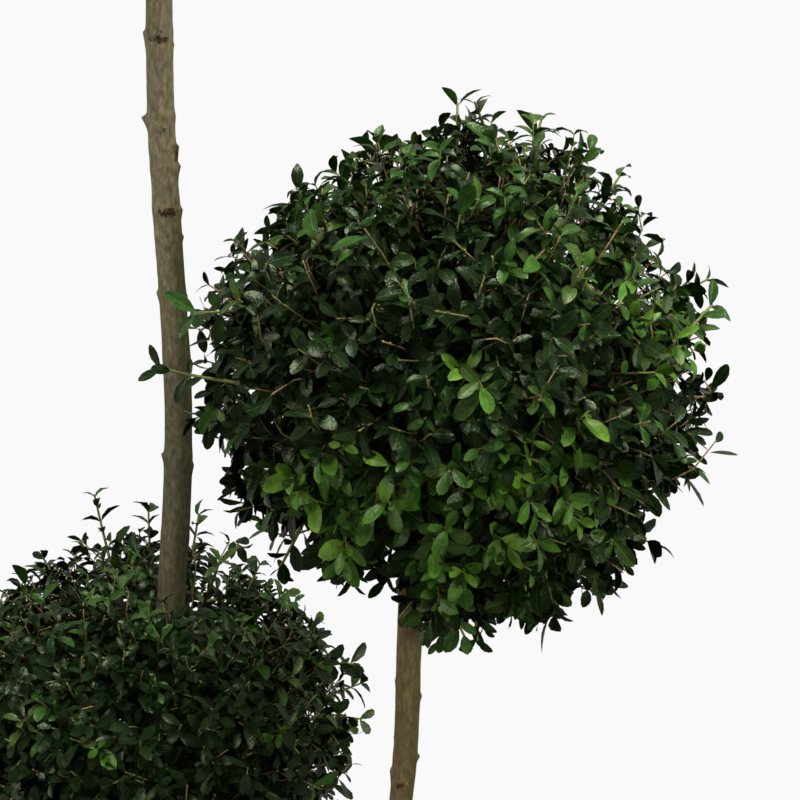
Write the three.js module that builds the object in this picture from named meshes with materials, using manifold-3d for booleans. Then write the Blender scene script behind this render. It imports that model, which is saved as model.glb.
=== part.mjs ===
// A potted privet topiary in millimetres, +Z up, with its origin at the middle of the pot's underside.
// One main stem is threaded through a low clipped ball and carries a second ball at its tip; a side stem
// that leaves it just above the compost carries the third ball, forward and to the right.
// Seen from the front (looking along +Y), +X is to the right.
import * as THREE from "three";
import { mergeVertices } from "three/addons/utils/BufferGeometryUtils.js";
import Module from "manifold-3d";

const wasm = await Module();
wasm.setup();

// Driving dimensions of the pot and its filling
const POT_HEIGHT = 320;
const POT_BASE_RADIUS = 142;
const POT_RIM_RADIUS = 190;
const POT_WALL = 4;
const POT_FLOOR = 5;
const RIM_BAND = 34;
const RIM_LIP = 8;
const COMPOST_DROP = 25;
const COMPOST_CROWN = 10;
const ROUND_SEGMENTS = 36;

// Clearances between neighbours
const SEAT_GAP = 0.3;
const BORE_GAP = 0.5;
const LEAF_CLEARANCE = 3;

// Driving dimensions of the stems: where they pass, and how thick they are
const COMPOST_TOP = POT_HEIGHT - COMPOST_DROP;
const MAIN_STEM_FOOT = new THREE.Vector3(0, 12, COMPOST_TOP + COMPOST_CROWN + SEAT_GAP);
const MAIN_STEM_WAY = [
  MAIN_STEM_FOOT,
  MAIN_STEM_FOOT.clone().add(new THREE.Vector3(0, 0, 30)),
  new THREE.Vector3(-48, 36, 470),
  new THREE.Vector3(-84, 63, 695),
  new THREE.Vector3(-67, 33, 850),
  new THREE.Vector3(-58, 8, 1000),
  new THREE.Vector3(-64, -18, 1180),
  new THREE.Vector3(-66, -42, 1360),
  new THREE.Vector3(-62, -52, 1550),
];
const SIDE_STEM_WAY = [
  new THREE.Vector3(-10, 18, 362),
  new THREE.Vector3(38, -32, 440),
  new THREE.Vector3(102, -118, 580),
  new THREE.Vector3(130, -160, 727),
  new THREE.Vector3(135, -180, 845),
  new THREE.Vector3(138, -182, 900),
  new THREE.Vector3(158, -180, 1010),
];
const MAIN_STEM_RADIUS = { foot: 14.4, tip: 9.6, flare: 9, flareHeight: 26, head: 0.6 };
const SIDE_STEM_RADIUS = { foot: 9.8, tip: 7.6, flare: 3.5, flareHeight: 22, head: 1.2 };
const STEM_SIDES = 12;
const STEM_STEP = 34;
const NODE_SPACING = 92;
const NODE_SWELL = 0.07;

// The clipped balls: the radius is that of the clipped surface, where most leaf tips end
const BALLS = [
  { name: "lower_ball", centre: new THREE.Vector3(-93, 122, 715), radius: 178, seed: 11 },
  { name: "middle_ball", centre: new THREE.Vector3(168, -180, 1036), radius: 182, seed: 24 },
  { name: "top_ball", centre: new THREE.Vector3(-62, -52, 1550), radius: 166, seed: 37 },
];
const CORE_SHARE = 0.82;
const CORE_ROUGHNESS = 0.06;
const CORE_DETAIL = 2;
const STUB_LENGTH = 17; // how far a ball's own stem shows below its core

// Growth rule: every bough heads for its own share of the ball's surface and there fans into twigs
const BOUGHS = 16;
const BOUGH_SHARE = 0.7;
const BOUGH_RISE = 0.3;
const TWIGS_PER_BOUGH = 3;
const TWIG_SPREAD = 0.33;
const TWIG_SHARE = 0.89;
const TWIG_SHARE_JITTER = 0.03;
const BOUGH_THICKNESS = 5;
const TWIG_THICKNESS = 3;
const TWIG_TIP_THICKNESS = 2.2;
const TWIG_SIDES = 3;

// Shoots that the shears missed: one twig in every few, and the sprigs that stand clear of each ball,
// each given by its angle in the front view in degrees, its lean to the back and the reach of its leaf tips
const SHOOT_EVERY = 9;
const SHOOT_SHARE = 1.02;
const SPACE_SHARE = 1.38; // no leaf of a ball goes past this share of its radius
const SPRIGS = {
  lower_ball: [
    [106, 0.1, 240],
    [94, 0.2, 219],
    [79, 0, 218],
    [58, -0.1, 199],
    [122, -0.1, 206],
    [13, 0, 209],
    [356, 0.3, 199],
    [150, 0.7, 202],
    [40, 1.2, 201],
  ],
  middle_ball: [
    [178, -0.1, 227],
    [92, -0.2, 211],
    [71, 0.1, 214],
    [47, -0.1, 209],
    [20, 0, 211],
    [338, 0.1, 208],
    [274, -0.3, 212],
    [125, 0.7, 205],
    [30, 1, 205],
  ],
  top_ball: [
    [96, 0.1, 206],
    [66, -0.4, 196],
    [160, -0.6, 192],
    [20, 0.5, 194],
    [120, 0.9, 192],
    [250, 0.7, 190],
  ],
};

// Leaves, larger than life: an opposite pair below each twig's tip and one leaf at the tip itself
const LEAF_SEATS = [
  { share: 0.88, angle: 0.95, turn: 0 },
  { share: 0.88, angle: 0.95, turn: Math.PI },
  { share: 0.99, angle: 0.35, turn: Math.PI / 2 },
];
const LEAF_LENGTH = 36;
const LEAF_WIDTH = 19;
const LEAF_THICKNESS = 1.5;
const LEAF_WIDEST = 0.55;
const LEAF_ROLL = 1.2;
const LEAF_SIZE_JITTER = 0.12;
const LEAF_DROOP = 0.12;

const GOLDEN_ANGLE = Math.PI * (3 - Math.sqrt(5));
const UP = new THREE.Vector3(0, 0, 1);

const finish = {
  pot: new THREE.MeshStandardMaterial({ color: 0x2b2b2c, roughness: 0.6, metalness: 0 }),
  compost: new THREE.MeshStandardMaterial({ color: 0x2e2119, roughness: 0.95, metalness: 0 }),
  bark: new THREE.MeshStandardMaterial({ color: 0x6b6149, roughness: 0.85, metalness: 0 }),
  foliage: new THREE.MeshStandardMaterial({ color: 0x23380f, roughness: 0.4, metalness: 0 }),
};

// A repeatable stream of numbers from 0 to 1
function seededRandom(seed) {
  let state = seed;
  return () => {
    state = (state + 0x6d2b79f5) | 0;
    let t = Math.imul(state ^ (state >>> 15), 1 | state);
    t = (t + Math.imul(t ^ (t >>> 7), 61 | t)) ^ t;
    return ((t ^ (t >>> 14)) >>> 0) / 4294967296;
  };
}

function solidFrom(geometry) {
  const bare = geometry.clone();
  bare.deleteAttribute("normal");
  bare.deleteAttribute("uv");
  const merged = mergeVertices(bare, 1e-4);
  return new wasm.Manifold(
    new wasm.Mesh({
      numProp: 3,
      vertProperties: merged.attributes.position.array,
      triVerts: new Uint32Array(merged.index.array),
    }),
  );
}

function geometryFrom(solid) {
  const { vertProperties, triVerts } = solid.getMesh();
  const geometry = new THREE.BufferGeometry();
  geometry.setAttribute("position", new THREE.BufferAttribute(vertProperties, 3));
  geometry.setIndex(new THREE.BufferAttribute(triVerts, 1));
  geometry.computeVertexNormals();
  return geometry;
}

// The largest closed body of a solid: sealed hollows are filled and loose scraps dropped
function largestBody(solid) {
  return solid.decompose().reduce((most, body) => (body.volume() > most.volume() ? body : most));
}

function part(name, geometry, material) {
  const mesh = new THREE.Mesh(geometry, material);
  mesh.name = name;
  return mesh;
}

// A round shape from a profile of [radius, height] points that starts and ends on the axis
function turned(profile) {
  const points = profile.map(([radius, height]) => new THREE.Vector2(radius, height));
  return new THREE.LatheGeometry(points, ROUND_SEGMENTS).rotateX(Math.PI / 2);
}

function potGeometry() {
  const bandFoot = POT_HEIGHT - RIM_BAND;
  const wallRadius = (height) =>
    THREE.MathUtils.mapLinear(height, 0, POT_HEIGHT, POT_BASE_RADIUS, POT_RIM_RADIUS - RIM_LIP);
  return turned([
    [0, 0],
    [POT_BASE_RADIUS - 3, 0],
    [POT_BASE_RADIUS, 3],
    [wallRadius(bandFoot), bandFoot],
    [POT_RIM_RADIUS - 3, bandFoot + 2],
    [POT_RIM_RADIUS, POT_HEIGHT - 6],
    [POT_RIM_RADIUS - 3, POT_HEIGHT],
    [wallRadius(POT_HEIGHT) - POT_WALL, POT_HEIGHT],
    [wallRadius(POT_FLOOR) - POT_WALL, POT_FLOOR],
    [0, POT_FLOOR],
  ]);
}

function compostGeometry() {
  const innerRadius = (height) =>
    THREE.MathUtils.mapLinear(height, 0, POT_HEIGHT, POT_BASE_RADIUS, POT_RIM_RADIUS - RIM_LIP) -
    POT_WALL -
    SEAT_GAP;
  const floor = POT_FLOOR + SEAT_GAP;
  const flatRadius = 40; // the level patch that the stem stands on
  return turned([
    [0, floor],
    [innerRadius(floor), floor],
    [innerRadius(COMPOST_TOP), COMPOST_TOP],
    [innerRadius(COMPOST_TOP) * 0.7, COMPOST_TOP + COMPOST_CROWN * 0.6],
    [flatRadius, COMPOST_TOP + COMPOST_CROWN],
    [0, COMPOST_TOP + COMPOST_CROWN],
  ]);
}

// A limb with its curve, and its radius at any share of the curve's length
function limb(way, thickness) {
  const curve = new THREE.CatmullRomCurve3(way, false, "centripetal");
  const length = curve.getLength();
  const radiusAt = (share) => {
    const along = share * length;
    const taper = THREE.MathUtils.lerp(thickness.foot, thickness.tip, share);
    const flare = thickness.flare * Math.exp(-along / thickness.flareHeight);
    const head = thickness.head * THREE.MathUtils.smoothstep(share, 0.55, 0.85);
    const toNode = Math.abs((along / NODE_SPACING) % 1 - 0.5);
    const swell = 1 + NODE_SWELL * THREE.MathUtils.smoothstep(toNode, 0.34, 0.5);
    return taper * swell + flare + head;
  };
  return { curve, length, radiusAt };
}

// A closed cylinder bent along a curve, each ring square to it
function bentCylinder(curve, radiusAt, sides, steps, from = 0, to = 1, grow = 0) {
  const geometry = new THREE.CylinderGeometry(1, 1, 1, sides, steps);
  const frames = curve.computeFrenetFrames(steps * 2, false);
  const position = geometry.attributes.position;
  const point = new THREE.Vector3();
  for (let i = 0; i < position.count; i++) {
    const share = THREE.MathUtils.lerp(from, to, 0.5 - position.getY(i));
    const frame = Math.round(share * steps * 2);
    const tangent = curve.getTangentAt(share);
    const across = frames.normals[frame].clone().projectOnPlane(tangent).normalize();
    const upright = new THREE.Vector3().crossVectors(tangent, across);
    const radius = radiusAt(share) + grow;
    point
      .copy(curve.getPointAt(share))
      .addScaledVector(across, position.getX(i) * radius)
      .addScaledVector(upright, position.getZ(i) * radius);
    position.setXYZ(i, point.x, point.y, point.z);
  }
  return geometry;
}

function limbSolid({ curve, length, radiusAt }, from = 0, to = 1, grow = 0) {
  const steps = Math.max(2, Math.round(((to - from) * length) / STEM_STEP));
  return solidFrom(bentCylinder(curve, radiusAt, STEM_SIDES, steps, from, to, grow));
}

// How far along a limb it first comes as high as this
function shareAtHeight({ curve }, height) {
  let [low, high] = [0, 1];
  for (let i = 0; i < 40; i++) {
    const middle = (low + high) / 2;
    if (curve.getPointAt(middle).z < height) low = middle;
    else high = middle;
  }
  return low;
}

// The gap from a point to the nearest side of the stems
function gapToStems(point, stems) {
  const samples = 60;
  let least = Infinity;
  for (const { curve, radiusAt, end } of stems) {
    for (let i = 0; i <= samples; i++) {
      const share = (i / samples) * end;
      least = Math.min(least, curve.getPointAt(share).distanceTo(point) - radiusAt(share));
    }
  }
  return least;
}

// A twig from one point to another that thins on its way
function twigSolid(from, to, startRadius, endRadius) {
  const curve = new THREE.LineCurve3(from, to);
  const radiusAt = (share) => THREE.MathUtils.lerp(startRadius, endRadius, share);
  return solidFrom(bentCylinder(curve, radiusAt, TWIG_SIDES, 1));
}

// A leaf of eight faces: a flattened octahedron with its root in the middle of the twig
function leafSolid(root, direction, face, size) {
  const length = LEAF_LENGTH * size;
  const side = new THREE.Vector3().crossVectors(face, direction).normalize();
  const over = new THREE.Vector3().crossVectors(direction, side).normalize();
  const geometry = new THREE.OctahedronGeometry(1);
  const position = geometry.attributes.position;
  const point = new THREE.Vector3();
  for (let i = 0; i < position.count; i++) {
    const lengthwise = position.getX(i);
    const along = Math.abs(lengthwise) > 0.5 ? (lengthwise > 0 ? length : 0) : length * LEAF_WIDEST;
    point
      .copy(root)
      .addScaledVector(direction, along)
      .addScaledVector(side, (position.getY(i) * LEAF_WIDTH * size) / 2)
      .addScaledVector(over, (position.getZ(i) * LEAF_THICKNESS) / 2);
    position.setXYZ(i, point.x, point.y, point.z);
  }
  return solidFrom(geometry);
}

// Directions spread evenly over a sphere
function evenDirection(index, count) {
  const z = 1 - (2 * index + 1) / count;
  const ring = Math.sqrt(1 - z * z);
  return new THREE.Vector3(ring * Math.cos(index * GOLDEN_ANGLE), ring * Math.sin(index * GOLDEN_ANGLE), z);
}

// A direction that leans away from a heading, towards one side of it
function leaningDirection(heading, lean, turn) {
  const reference = Math.abs(heading.z) > 0.9 ? new THREE.Vector3(1, 0, 0) : UP;
  const side = new THREE.Vector3().crossVectors(heading, reference).normalize().applyAxisAngle(heading, turn);
  return heading.clone().multiplyScalar(Math.cos(lean)).addScaledVector(side, Math.sin(lean)).normalize();
}

// The leaves of one twig, leaving out any that would leave the ball's space or touch a stem
function leavesOfTwig(ball, [from, to], random, stems) {
  const heading = to.clone().sub(from).normalize();
  const twigTurn = random() * Math.PI;
  const leaves = [];
  for (const { share, angle, turn } of LEAF_SEATS) {
    const root = from.clone().lerp(to, share);
    const direction = leaningDirection(heading, angle, twigTurn + turn);
    direction.addScaledVector(UP, -LEAF_DROOP).normalize();
    const face = heading.clone().applyAxisAngle(direction, LEAF_ROLL * (random() - 0.5));
    const size = 1 + LEAF_SIZE_JITTER * (2 * random() - 1);
    const tip = root.clone().addScaledVector(direction, LEAF_LENGTH * size);
    const middle = root.clone().lerp(tip, 0.5);
    const strays = tip.distanceTo(ball.centre) > ball.radius * SPACE_SHARE;
    const room = Math.min(gapToStems(tip, stems), gapToStems(middle, stems));
    if (!strays && room > LEAF_WIDTH / 2 + LEAF_CLEARANCE) leaves.push(leafSolid(root, direction, face, size));
  }
  return leaves;
}

// The boughs and twigs of a ball as pairs of ends: boughs rise from the ball's stem and fan into twigs
function limbsOf(ball, spine) {
  const random = seededRandom(ball.seed);
  const at = (heading, distance) => ball.centre.clone().addScaledVector(heading, distance);
  const boughs = [];
  const twigs = [];
  for (let i = 0; i < BOUGHS; i++) {
    const heading = evenDirection(i, BOUGHS);
    const fork = at(heading, ball.radius * BOUGH_SHARE);
    const startHeight = THREE.MathUtils.clamp(fork.z - ball.radius * BOUGH_RISE, spine.low, spine.high);
    boughs.push([spine.curve.getPointAt(shareAtHeight(spine, startHeight)), fork]);
    const fan = random() * 2 * Math.PI;
    for (let k = 0; k < TWIGS_PER_BOUGH; k++) {
      const twigHeading = leaningDirection(heading, TWIG_SPREAD, fan + (k / TWIGS_PER_BOUGH) * 2 * Math.PI);
      const isShoot = (i * TWIGS_PER_BOUGH + k) % SHOOT_EVERY === 0;
      const share = (isShoot ? SHOOT_SHARE : TWIG_SHARE) + TWIG_SHARE_JITTER * (2 * random() - 1);
      twigs.push([fork, at(twigHeading, ball.radius * share)]);
    }
  }
  for (const [degrees, lean, reach] of SPRIGS[ball.name]) {
    const angle = THREE.MathUtils.degToRad(degrees);
    const heading = new THREE.Vector3(Math.cos(angle), lean, Math.sin(angle)).normalize();
    twigs.push([at(heading, ball.radius * BOUGH_SHARE), at(heading, reach - LEAF_LENGTH)]);
  }
  return { boughs, twigs };
}

// Every bough, twig and leaf of a ball as solids, leaving out twigs where a stem is in the way
function growBall(ball, spine, stems) {
  const random = seededRandom(ball.seed + 1000);
  const { boughs, twigs } = limbsOf(ball, spine);
  const pieces = boughs.map(([start, fork]) => twigSolid(start, fork, BOUGH_THICKNESS, TWIG_THICKNESS));
  for (const [fork, end] of twigs) {
    const room = Math.min(gapToStems(end, stems), gapToStems(fork.clone().lerp(end, 0.6), stems));
    if (room < LEAF_CLEARANCE + TWIG_THICKNESS) continue;
    pieces.push(twigSolid(fork, end, TWIG_THICKNESS, TWIG_TIP_THICKNESS));
    pieces.push(...leavesOfTwig(ball, [fork, end], random, stems));
  }
  return pieces;
}

// The dense inside of a clipped ball, uneven like a mass of twigs
function coreSolid(ball) {
  const geometry = new THREE.IcosahedronGeometry(ball.radius * CORE_SHARE, CORE_DETAIL);
  const position = geometry.attributes.position;
  const point = new THREE.Vector3();
  for (let i = 0; i < position.count; i++) {
    point.fromBufferAttribute(position, i);
    const { x, y, z } = point.clone().normalize().multiplyScalar(4);
    const bump = Math.sin(x + ball.seed) * Math.cos(1.3 * y) + Math.sin(1.7 * z + ball.seed) * Math.cos(x);
    point.multiplyScalar(1 + (CORE_ROUGHNESS * bump) / 2).add(ball.centre);
    position.setXYZ(i, point.x, point.y, point.z);
  }
  return solidFrom(geometry);
}

function ballGeometry(ball, spine, stems, ownStem, boredBy) {
  const pieces = [coreSolid(ball), ...growBall(ball, spine, stems)];
  if (ownStem) pieces.push(ownStem);
  const fused = wasm.Manifold.union(pieces);
  return geometryFrom(largestBody(boredBy ? fused.subtract(boredBy) : fused));
}

// The stems: a limb that ends in a ball stops below the core, and the ball's own stem goes on from there
const mainStem = limb(MAIN_STEM_WAY, MAIN_STEM_RADIUS);
const sideStem = limb(SIDE_STEM_WAY, SIDE_STEM_RADIUS);
const [lowerBall, middleBall, topBall] = BALLS;
const stemEnd = (stem, ball) => shareAtHeight(stem, ball.centre.z - ball.radius * CORE_SHARE - STUB_LENGTH);
mainStem.end = stemEnd(mainStem, topBall);
sideStem.end = stemEnd(sideStem, middleBall);
const stems = [mainStem, sideStem];

function spineOf(stem, ball) {
  return { curve: stem.curve, low: ball.centre.z - ball.radius * 0.5, high: ball.centre.z + ball.radius * 0.2 };
}

function ownStemOf(stem) {
  return limbSolid(stem, stem.end + SEAT_GAP / stem.length, 0.97);
}

const mainStemSolid = limbSolid(mainStem, 0, mainStem.end);
const mainStemWithGap = limbSolid(mainStem, 0, mainStem.end, BORE_GAP);
const sideStemSolid = largestBody(limbSolid(sideStem, 0, sideStem.end).subtract(mainStemWithGap));

const topiary = new THREE.Group();
topiary.add(
  part("pot", potGeometry(), finish.pot),
  part("compost", compostGeometry(), finish.compost),
  part("main_stem", geometryFrom(mainStemSolid), finish.bark),
  part("side_stem", geometryFrom(sideStemSolid), finish.bark),
  part(
    lowerBall.name,
    ballGeometry(lowerBall, spineOf(mainStem, lowerBall), stems, null, mainStemWithGap),
    finish.foliage,
  ),
  part(
    middleBall.name,
    ballGeometry(middleBall, spineOf(sideStem, middleBall), stems, ownStemOf(sideStem)),
    finish.foliage,
  ),
  part(topBall.name, ballGeometry(topBall, spineOf(mainStem, topBall), stems, ownStemOf(mainStem)), finish.foliage),
);

export default topiary;
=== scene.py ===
"""Looks of a potted privet topiary: three clipped balls of small glossy leaves on two stems in a round pot.

Everything is laid out in millimetres, +Z up, from the middle of the pot's underside, and turned into metres
as each mesh is made. The stems, the balls and their boughs follow the same named sizes and the same seeded
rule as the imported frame, and the boughs are then carried on to fine twigs, shoots and leaves.
"""

import math

import bmesh
import bpy
import numpy as np
from mathutils import Euler, Matrix, Vector


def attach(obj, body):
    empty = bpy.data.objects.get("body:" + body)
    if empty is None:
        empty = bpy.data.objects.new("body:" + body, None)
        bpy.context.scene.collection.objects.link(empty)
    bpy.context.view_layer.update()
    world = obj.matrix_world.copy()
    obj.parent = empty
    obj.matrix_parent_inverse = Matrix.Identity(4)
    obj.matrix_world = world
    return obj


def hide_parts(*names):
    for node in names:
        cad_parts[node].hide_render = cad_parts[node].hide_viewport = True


MM = 0.001
MASK = 0xFFFFFFFF
GOLDEN_ANGLE = math.pi * (3 - math.sqrt(5))
UP = np.array([0.0, 0.0, 1.0])
FRONT = np.array([0.0, -1.0, 0.0])

# Pot and compost
POT_HEIGHT = 320
POT_BASE_RADIUS = 142
POT_RIM_RADIUS = 190
POT_WALL = 4
RIM_BAND = 34
RIM_LIP = 8
CORNER_BEND = 4
BAND_BEND = 2.2
LIP_BEND = 3
INNER_EDGE_BEND = 1.2
POT_SEGMENTS = 128
COMPOST_TOP = POT_HEIGHT - 25
COMPOST_CROWN = 10
COMPOST_DEPTH = 40
COMPOST_GAP = 0.3
COMPOST_RINGS = 60
COMPOST_SEGMENTS = 160
CHIPS = 900
CHIP_SEED = 5
CHIP_FREE_RADIUS = 30
CHIP_TILT = (0.25, 0.22)
CHIP_CORNERS = (0.65, 1.1)
CHIP_SMALLEST = (4, 2.5, 1.2)
CHIP_LARGEST = (13, 6, 2.8)

# Where the stems pass, and how thick they are
FOOT = (0, 12, COMPOST_TOP + COMPOST_CROWN + 0.3)
MAIN_STEM_WAY = [
    FOOT,
    (FOOT[0], FOOT[1], FOOT[2] + 30),
    (-48, 36, 470),
    (-84, 63, 695),
    (-67, 33, 850),
    (-57.5, 8, 1000),
    (-64.3, -18, 1180),
    (-66.8, -26, 1240),
    (-67.0, -34, 1300),
    (-66.2, -42, 1360),
    (-62, -52, 1550),
]
SIDE_STEM_WAY = [
    (-10, 18, 362),
    (38, -32, 440),
    (102, -118, 580),
    (129.2, -160, 727),
    (135, -180, 845),
    (138, -182, 900),
    (158, -180, 1010),
]
MAIN_STEM_RADIUS = {"foot": 14.4, "tip": 9.3, "flare": 9, "flare_height": 26, "head": 0.6}
SIDE_STEM_RADIUS = {"foot": 9.8, "tip": 7.6, "flare": 3.5, "flare_height": 22, "head": 1.2}

# Knots on the stems: height, angle round the stem, width, rise, run below the tip and depth of the brown.
# The angle runs from the right side (0) by the back (90) and the left (180) to the front (270).
MAIN_STEM_KNOTS = [
    (1352, 20, 4, 0.8, 4, 0.3),
    (1313, 179, 4, 2.2, 18, 0.2),
    (1307, 277, 10, 0.9, 4, 0.9),
    (1303, 2, 4, 0.9, 4, 0.3),
    (1246, 180, 4, 4.4, 13, 0.2),
    (1236, 285, 4, 0.8, 5, 0.6),
    (1222, 346, 5, 2.8, 26, 0.9),
    (1206, 352, 6, 2.4, 14, 0.5),
    (1171, 0, 6, 1.8, 10, 0.2),
    (1170, 282, 10, 1.2, 5, 1.0),
    (1149, 6, 3, 1.4, 5, 0.3),
    (1105, 180, 4, 1.7, 10, 0.2),
    (1100, 6, 5, 1.0, 8, 0.2),
    (1050, 60, 5, 2.0, 6, 0.5),
    (969, 180, 4, 2.4, 10, 0.3),
    (961, 356, 6, 1.6, 12, 0.3),
    (900, 100, 5, 2.0, 8, 0.5),
    (560, 20, 6, 2.0, 9, 0.5),
    (500, 200, 7, 2.0, 10, 0.5),
    (430, 300, 7, 2.2, 10, 0.5),
    (392, 150, 8, 2.0, 12, 0.5),
]
SIDE_STEM_KNOTS = [
    (884, 186, 7, 2.4, 14, 0.2),
    (857, 225, 9, 0.6, 6, 0.9),
    (812, 182, 4, 0.7, 8, 0.2),
    (801, 2, 4, 1.3, 4, 0.4),
    (770, 200, 4, 0.6, 4, 0.4),
    (756, 0, 4, 1.9, 5, 0.3),
    (744, 180, 5, 1.4, 12, 0.2),
    (737, 262, 7, 0.5, 5, 0.7),
    (700, 40, 5, 1.6, 8, 0.5),
    (640, 210, 5, 1.6, 8, 0.5),
    (560, 330, 5, 1.8, 8, 0.5),
    (480, 120, 5, 1.8, 8, 0.5),
]

# Waves of relief on the bark: length along the stem in rings, lobes round it and height
BARK_RELIEF = [(14, 3, 0.4), (5, 6, 0.2), (1.8, 11, 0.1)]
RELIEF_WAVES = 5
STEM_SIDES = 48
STEM_RING_STEP = 1.3
FOOT_LOBES, FOOT_LOBE_RISE, FOOT_LOBE_RUN = 5, 1.8, 40

# Resting buds on the scars: height, angle and half their width
STEM_BUDS = {
    "main_stem": [(1307, 286, 2.3), (1306, 262, 1.5), (1235, 284, 1.7), (1168, 262, 1.9)],
    "side_stem": [(856, 300, 1.5), (800, 12, 1.2), (736, 285, 1.4)],
}

# The clipped balls
BALLS = [
    {"name": "lower_ball", "centre": (-93, 122, 715), "radius": 178, "seed": 11},
    {"name": "middle_ball", "centre": (168, -180, 1036), "radius": 182, "seed": 24},
    {"name": "top_ball", "centre": (-62, -52, 1550), "radius": 166, "seed": 37},
]

# The frame's growth rule: boughs rise from the stem and fan into twigs, and every ninth twig is a long shoot
BOUGHS = 16
BOUGH_SHARE = 0.7
BOUGH_RISE = 0.3
BOUGH_FOOT_RANGE = (-0.5, 0.2)
STEM_END = -0.2
TWIGS_PER_BOUGH = 3
TWIG_SPREAD = 0.33
TWIG_SHARE = 0.89
TWIG_SHARE_JITTER = 0.03
SHOOT_EVERY = 9
SHOOT_SHARE = 1.02

# The same rule carried on: fine twigs from the boughs, and leafy shoots from the fine twigs.
# The leaf seed is added to each ball's own seed for their random draws.
FINE_TWIGS = 240
FINE_TWIG_SHARE = 0.62
FINE_TWIG_SCATTER = 0.08
FINE_TWIG_ORIGINS = (0.3, 0.95)
FINE_TWIG_LIFT = 0.3
LEAFY_SHOOTS = 1800
SHOOT_SCATTER = 0.022
SHOOT_ORIGINS = (0.2, 1.0)
SHOOT_LEAN = 0.52
PARENTS_TRIED = 6
LEAF_SEED = 2

# The clipped surface: how far the shoots end inside it, and how many the shears missed
CLIP_DEPTH = 14
CLIP_JITTER = 8
CLIP_JITTER_LIMITS = (-2.2, 1.4)
MISSED_CHANCE, MISSED_CHANCE_ON_TOP = 0.02, 0.05
MISSED_LENGTH = (6, 17)
UPWARD_GROWTH = 0.5

# Sprays stand apart with gaps between them, and the surface dips there
GAP_PITCH = 29
GAP_SHARE = 1.1
HOLLOW_DEPTH = 0.11
SWELL_PITCH = 3.1
SWELL_SHARE = 0.012

# Sprigs and the short shoots that fork from them
SPRIG_SAG = 6
SPRIG_SLIM_LENGTHS = (-60, 100)
SIDE_SHOOT_SHARES = (0.1, 0.2, 0.35)
SIDE_SHOOT_LEAN = 0.42
SIDE_SHOOT_REACH = (0.4, 0.65)
SIDE_SHOOT_LEAST = 6
SIDE_SHOOT_SAG = 1.5

# Each kind of limb: its radii at root and tip, and the sides and steps of its tube
BOUGH_TUBE = {"radii": (4.2, 2.8), "sides": 8, "steps": 6}
FINE_TWIG_TUBE = {"radii": (2.0, 1.2), "sides": 5, "steps": 4}
TWIG_TUBE = {"radii": (1.9, 0.9), "sides": 6, "steps": 4}
SPRIG_TUBE = {"radii": (1.8, 0.9), "sides": 6, "steps": 5}
SHOOT_TUBE = {"radii": (1.1, 0.6), "sides": 3, "steps": 5}
OLD_SHOOT_STEPS = 2
TUBE_TIP = 0.8

# Room that limbs and leaves keep to the stems
LIMB_ROOM, FINE_TWIG_ROOM, LEAF_TIP_ROOM, LEAF_MIDDLE_ROOM = 3, 1, 0.5, 2

# Leaves in pairs at the nodes of a shoot, by distance from its tip, and the chance that each is there
LEAF_NODES_FROM_TIP = [1.5, 9, 18, 28, 39, 51]
LEAF_CHANCE = [0.97, 0.98, 0.94, 0.78, 0.58, 0.42]
LEAF_LENGTH = 17.5
LEAF_WIDTH_SHARE = 0.49
LEAF_SIZE_SPREAD = 0.2
LEAF_SIZE_LIMITS = (0.6, 1.35)
SHOOT_TIP_LEAF, SPRIG_TIP_LEAF = 0.72, 0.95
SPRIG_NODE_SPREAD = 1.25
BARE_TIP_CHANCE = 0.012
OUTER_NODES = 2
BUD_CHANCE = 0.4
RIB_HALF_WIDTH = 0.02
RIB_PALER = 2

# How leaves sit low on a ball and at its top: degrees from the shoot, faces, size and shape
LEAF_SPREAD = (46, 38)
LEAF_SPREAD_PER_NODE = (11, 8)
LEAF_SPREAD_JITTER = 9
LEAF_LIFT, LEAF_DROOP, LEAF_WAY_JITTER = 0.25, 0.2, 0.1
LEAF_FACES_AHEAD = (0.8, 1.0)
LEAF_FACES_UP = 0.35
LEAF_FACES_OUT = (0.3, 0.1)
LEAF_FACE_JITTER = 0.4
LOOSE_LEAF_FACES_FRONT = 2
LEAF_GROWTH = (1.08, 1.1)
LEAF_SLIMNESS = (1.0, 0.9)
LEAF_FOLD = (0.2, 0.42)
LEAF_CURL = (0.35, 0.95)
LEAF_BLUNTNESS = (0.7, 0.2)
LEAF_SHAPE_JITTER = 0.25

# Rows of a leaf blade: how far along, and half its width in a pointed and in a blunt leaf
LEAF_ROWS_FINE = [
    (0.1, 0.19, 0.15),
    (0.28, 0.39, 0.34),
    (0.5, 0.48, 0.48),
    (0.73, 0.37, 0.48),
    (0.92, 0.13, 0.29),
]
LEAF_ROWS_PLAIN = [(0.22, 0.34, 0.28), (0.58, 0.48, 0.5), (0.88, 0.22, 0.38)]

# Where shoots are left out: angle in the front view, width of that angle and share left out
THIN_SPOTS = {
    "middle_ball": [
        (0, 12, 0.5),
        (22, 7, 0.7),
        (36, 6, 0.6),
        (51, 6, 0.6),
        (90, 60, 0.4),
        (113, 6, 0.3),
        (145, 8, 0.45),
        (156, 5, 0.4),
        (167, 5, 0.3),
        (184, 5, 0.4),
        (197, 6, 0.35),
        (222, 6, 0.3),
        (306, 9, 0.1),
        (314, 16, 0.35),
        (340, 10, 0.25),
    ],
    "lower_ball": [(70, 14, 0.7), (90, 60, 0.35), (112, 10, 0.6), (10, 10, 0.7), (340, 12, 0.6)],
    "top_ball": [(320, 12, 0.7), (120, 14, 0.6), (50, 12, 0.7), (200, 10, 0.6)],
}

# Where the clipped surface bulges to the front: heading, width and share
BULGES = {"lower_ball": [((0.16, -0.72, 0.67), 0.26, 0.115)]}

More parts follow.
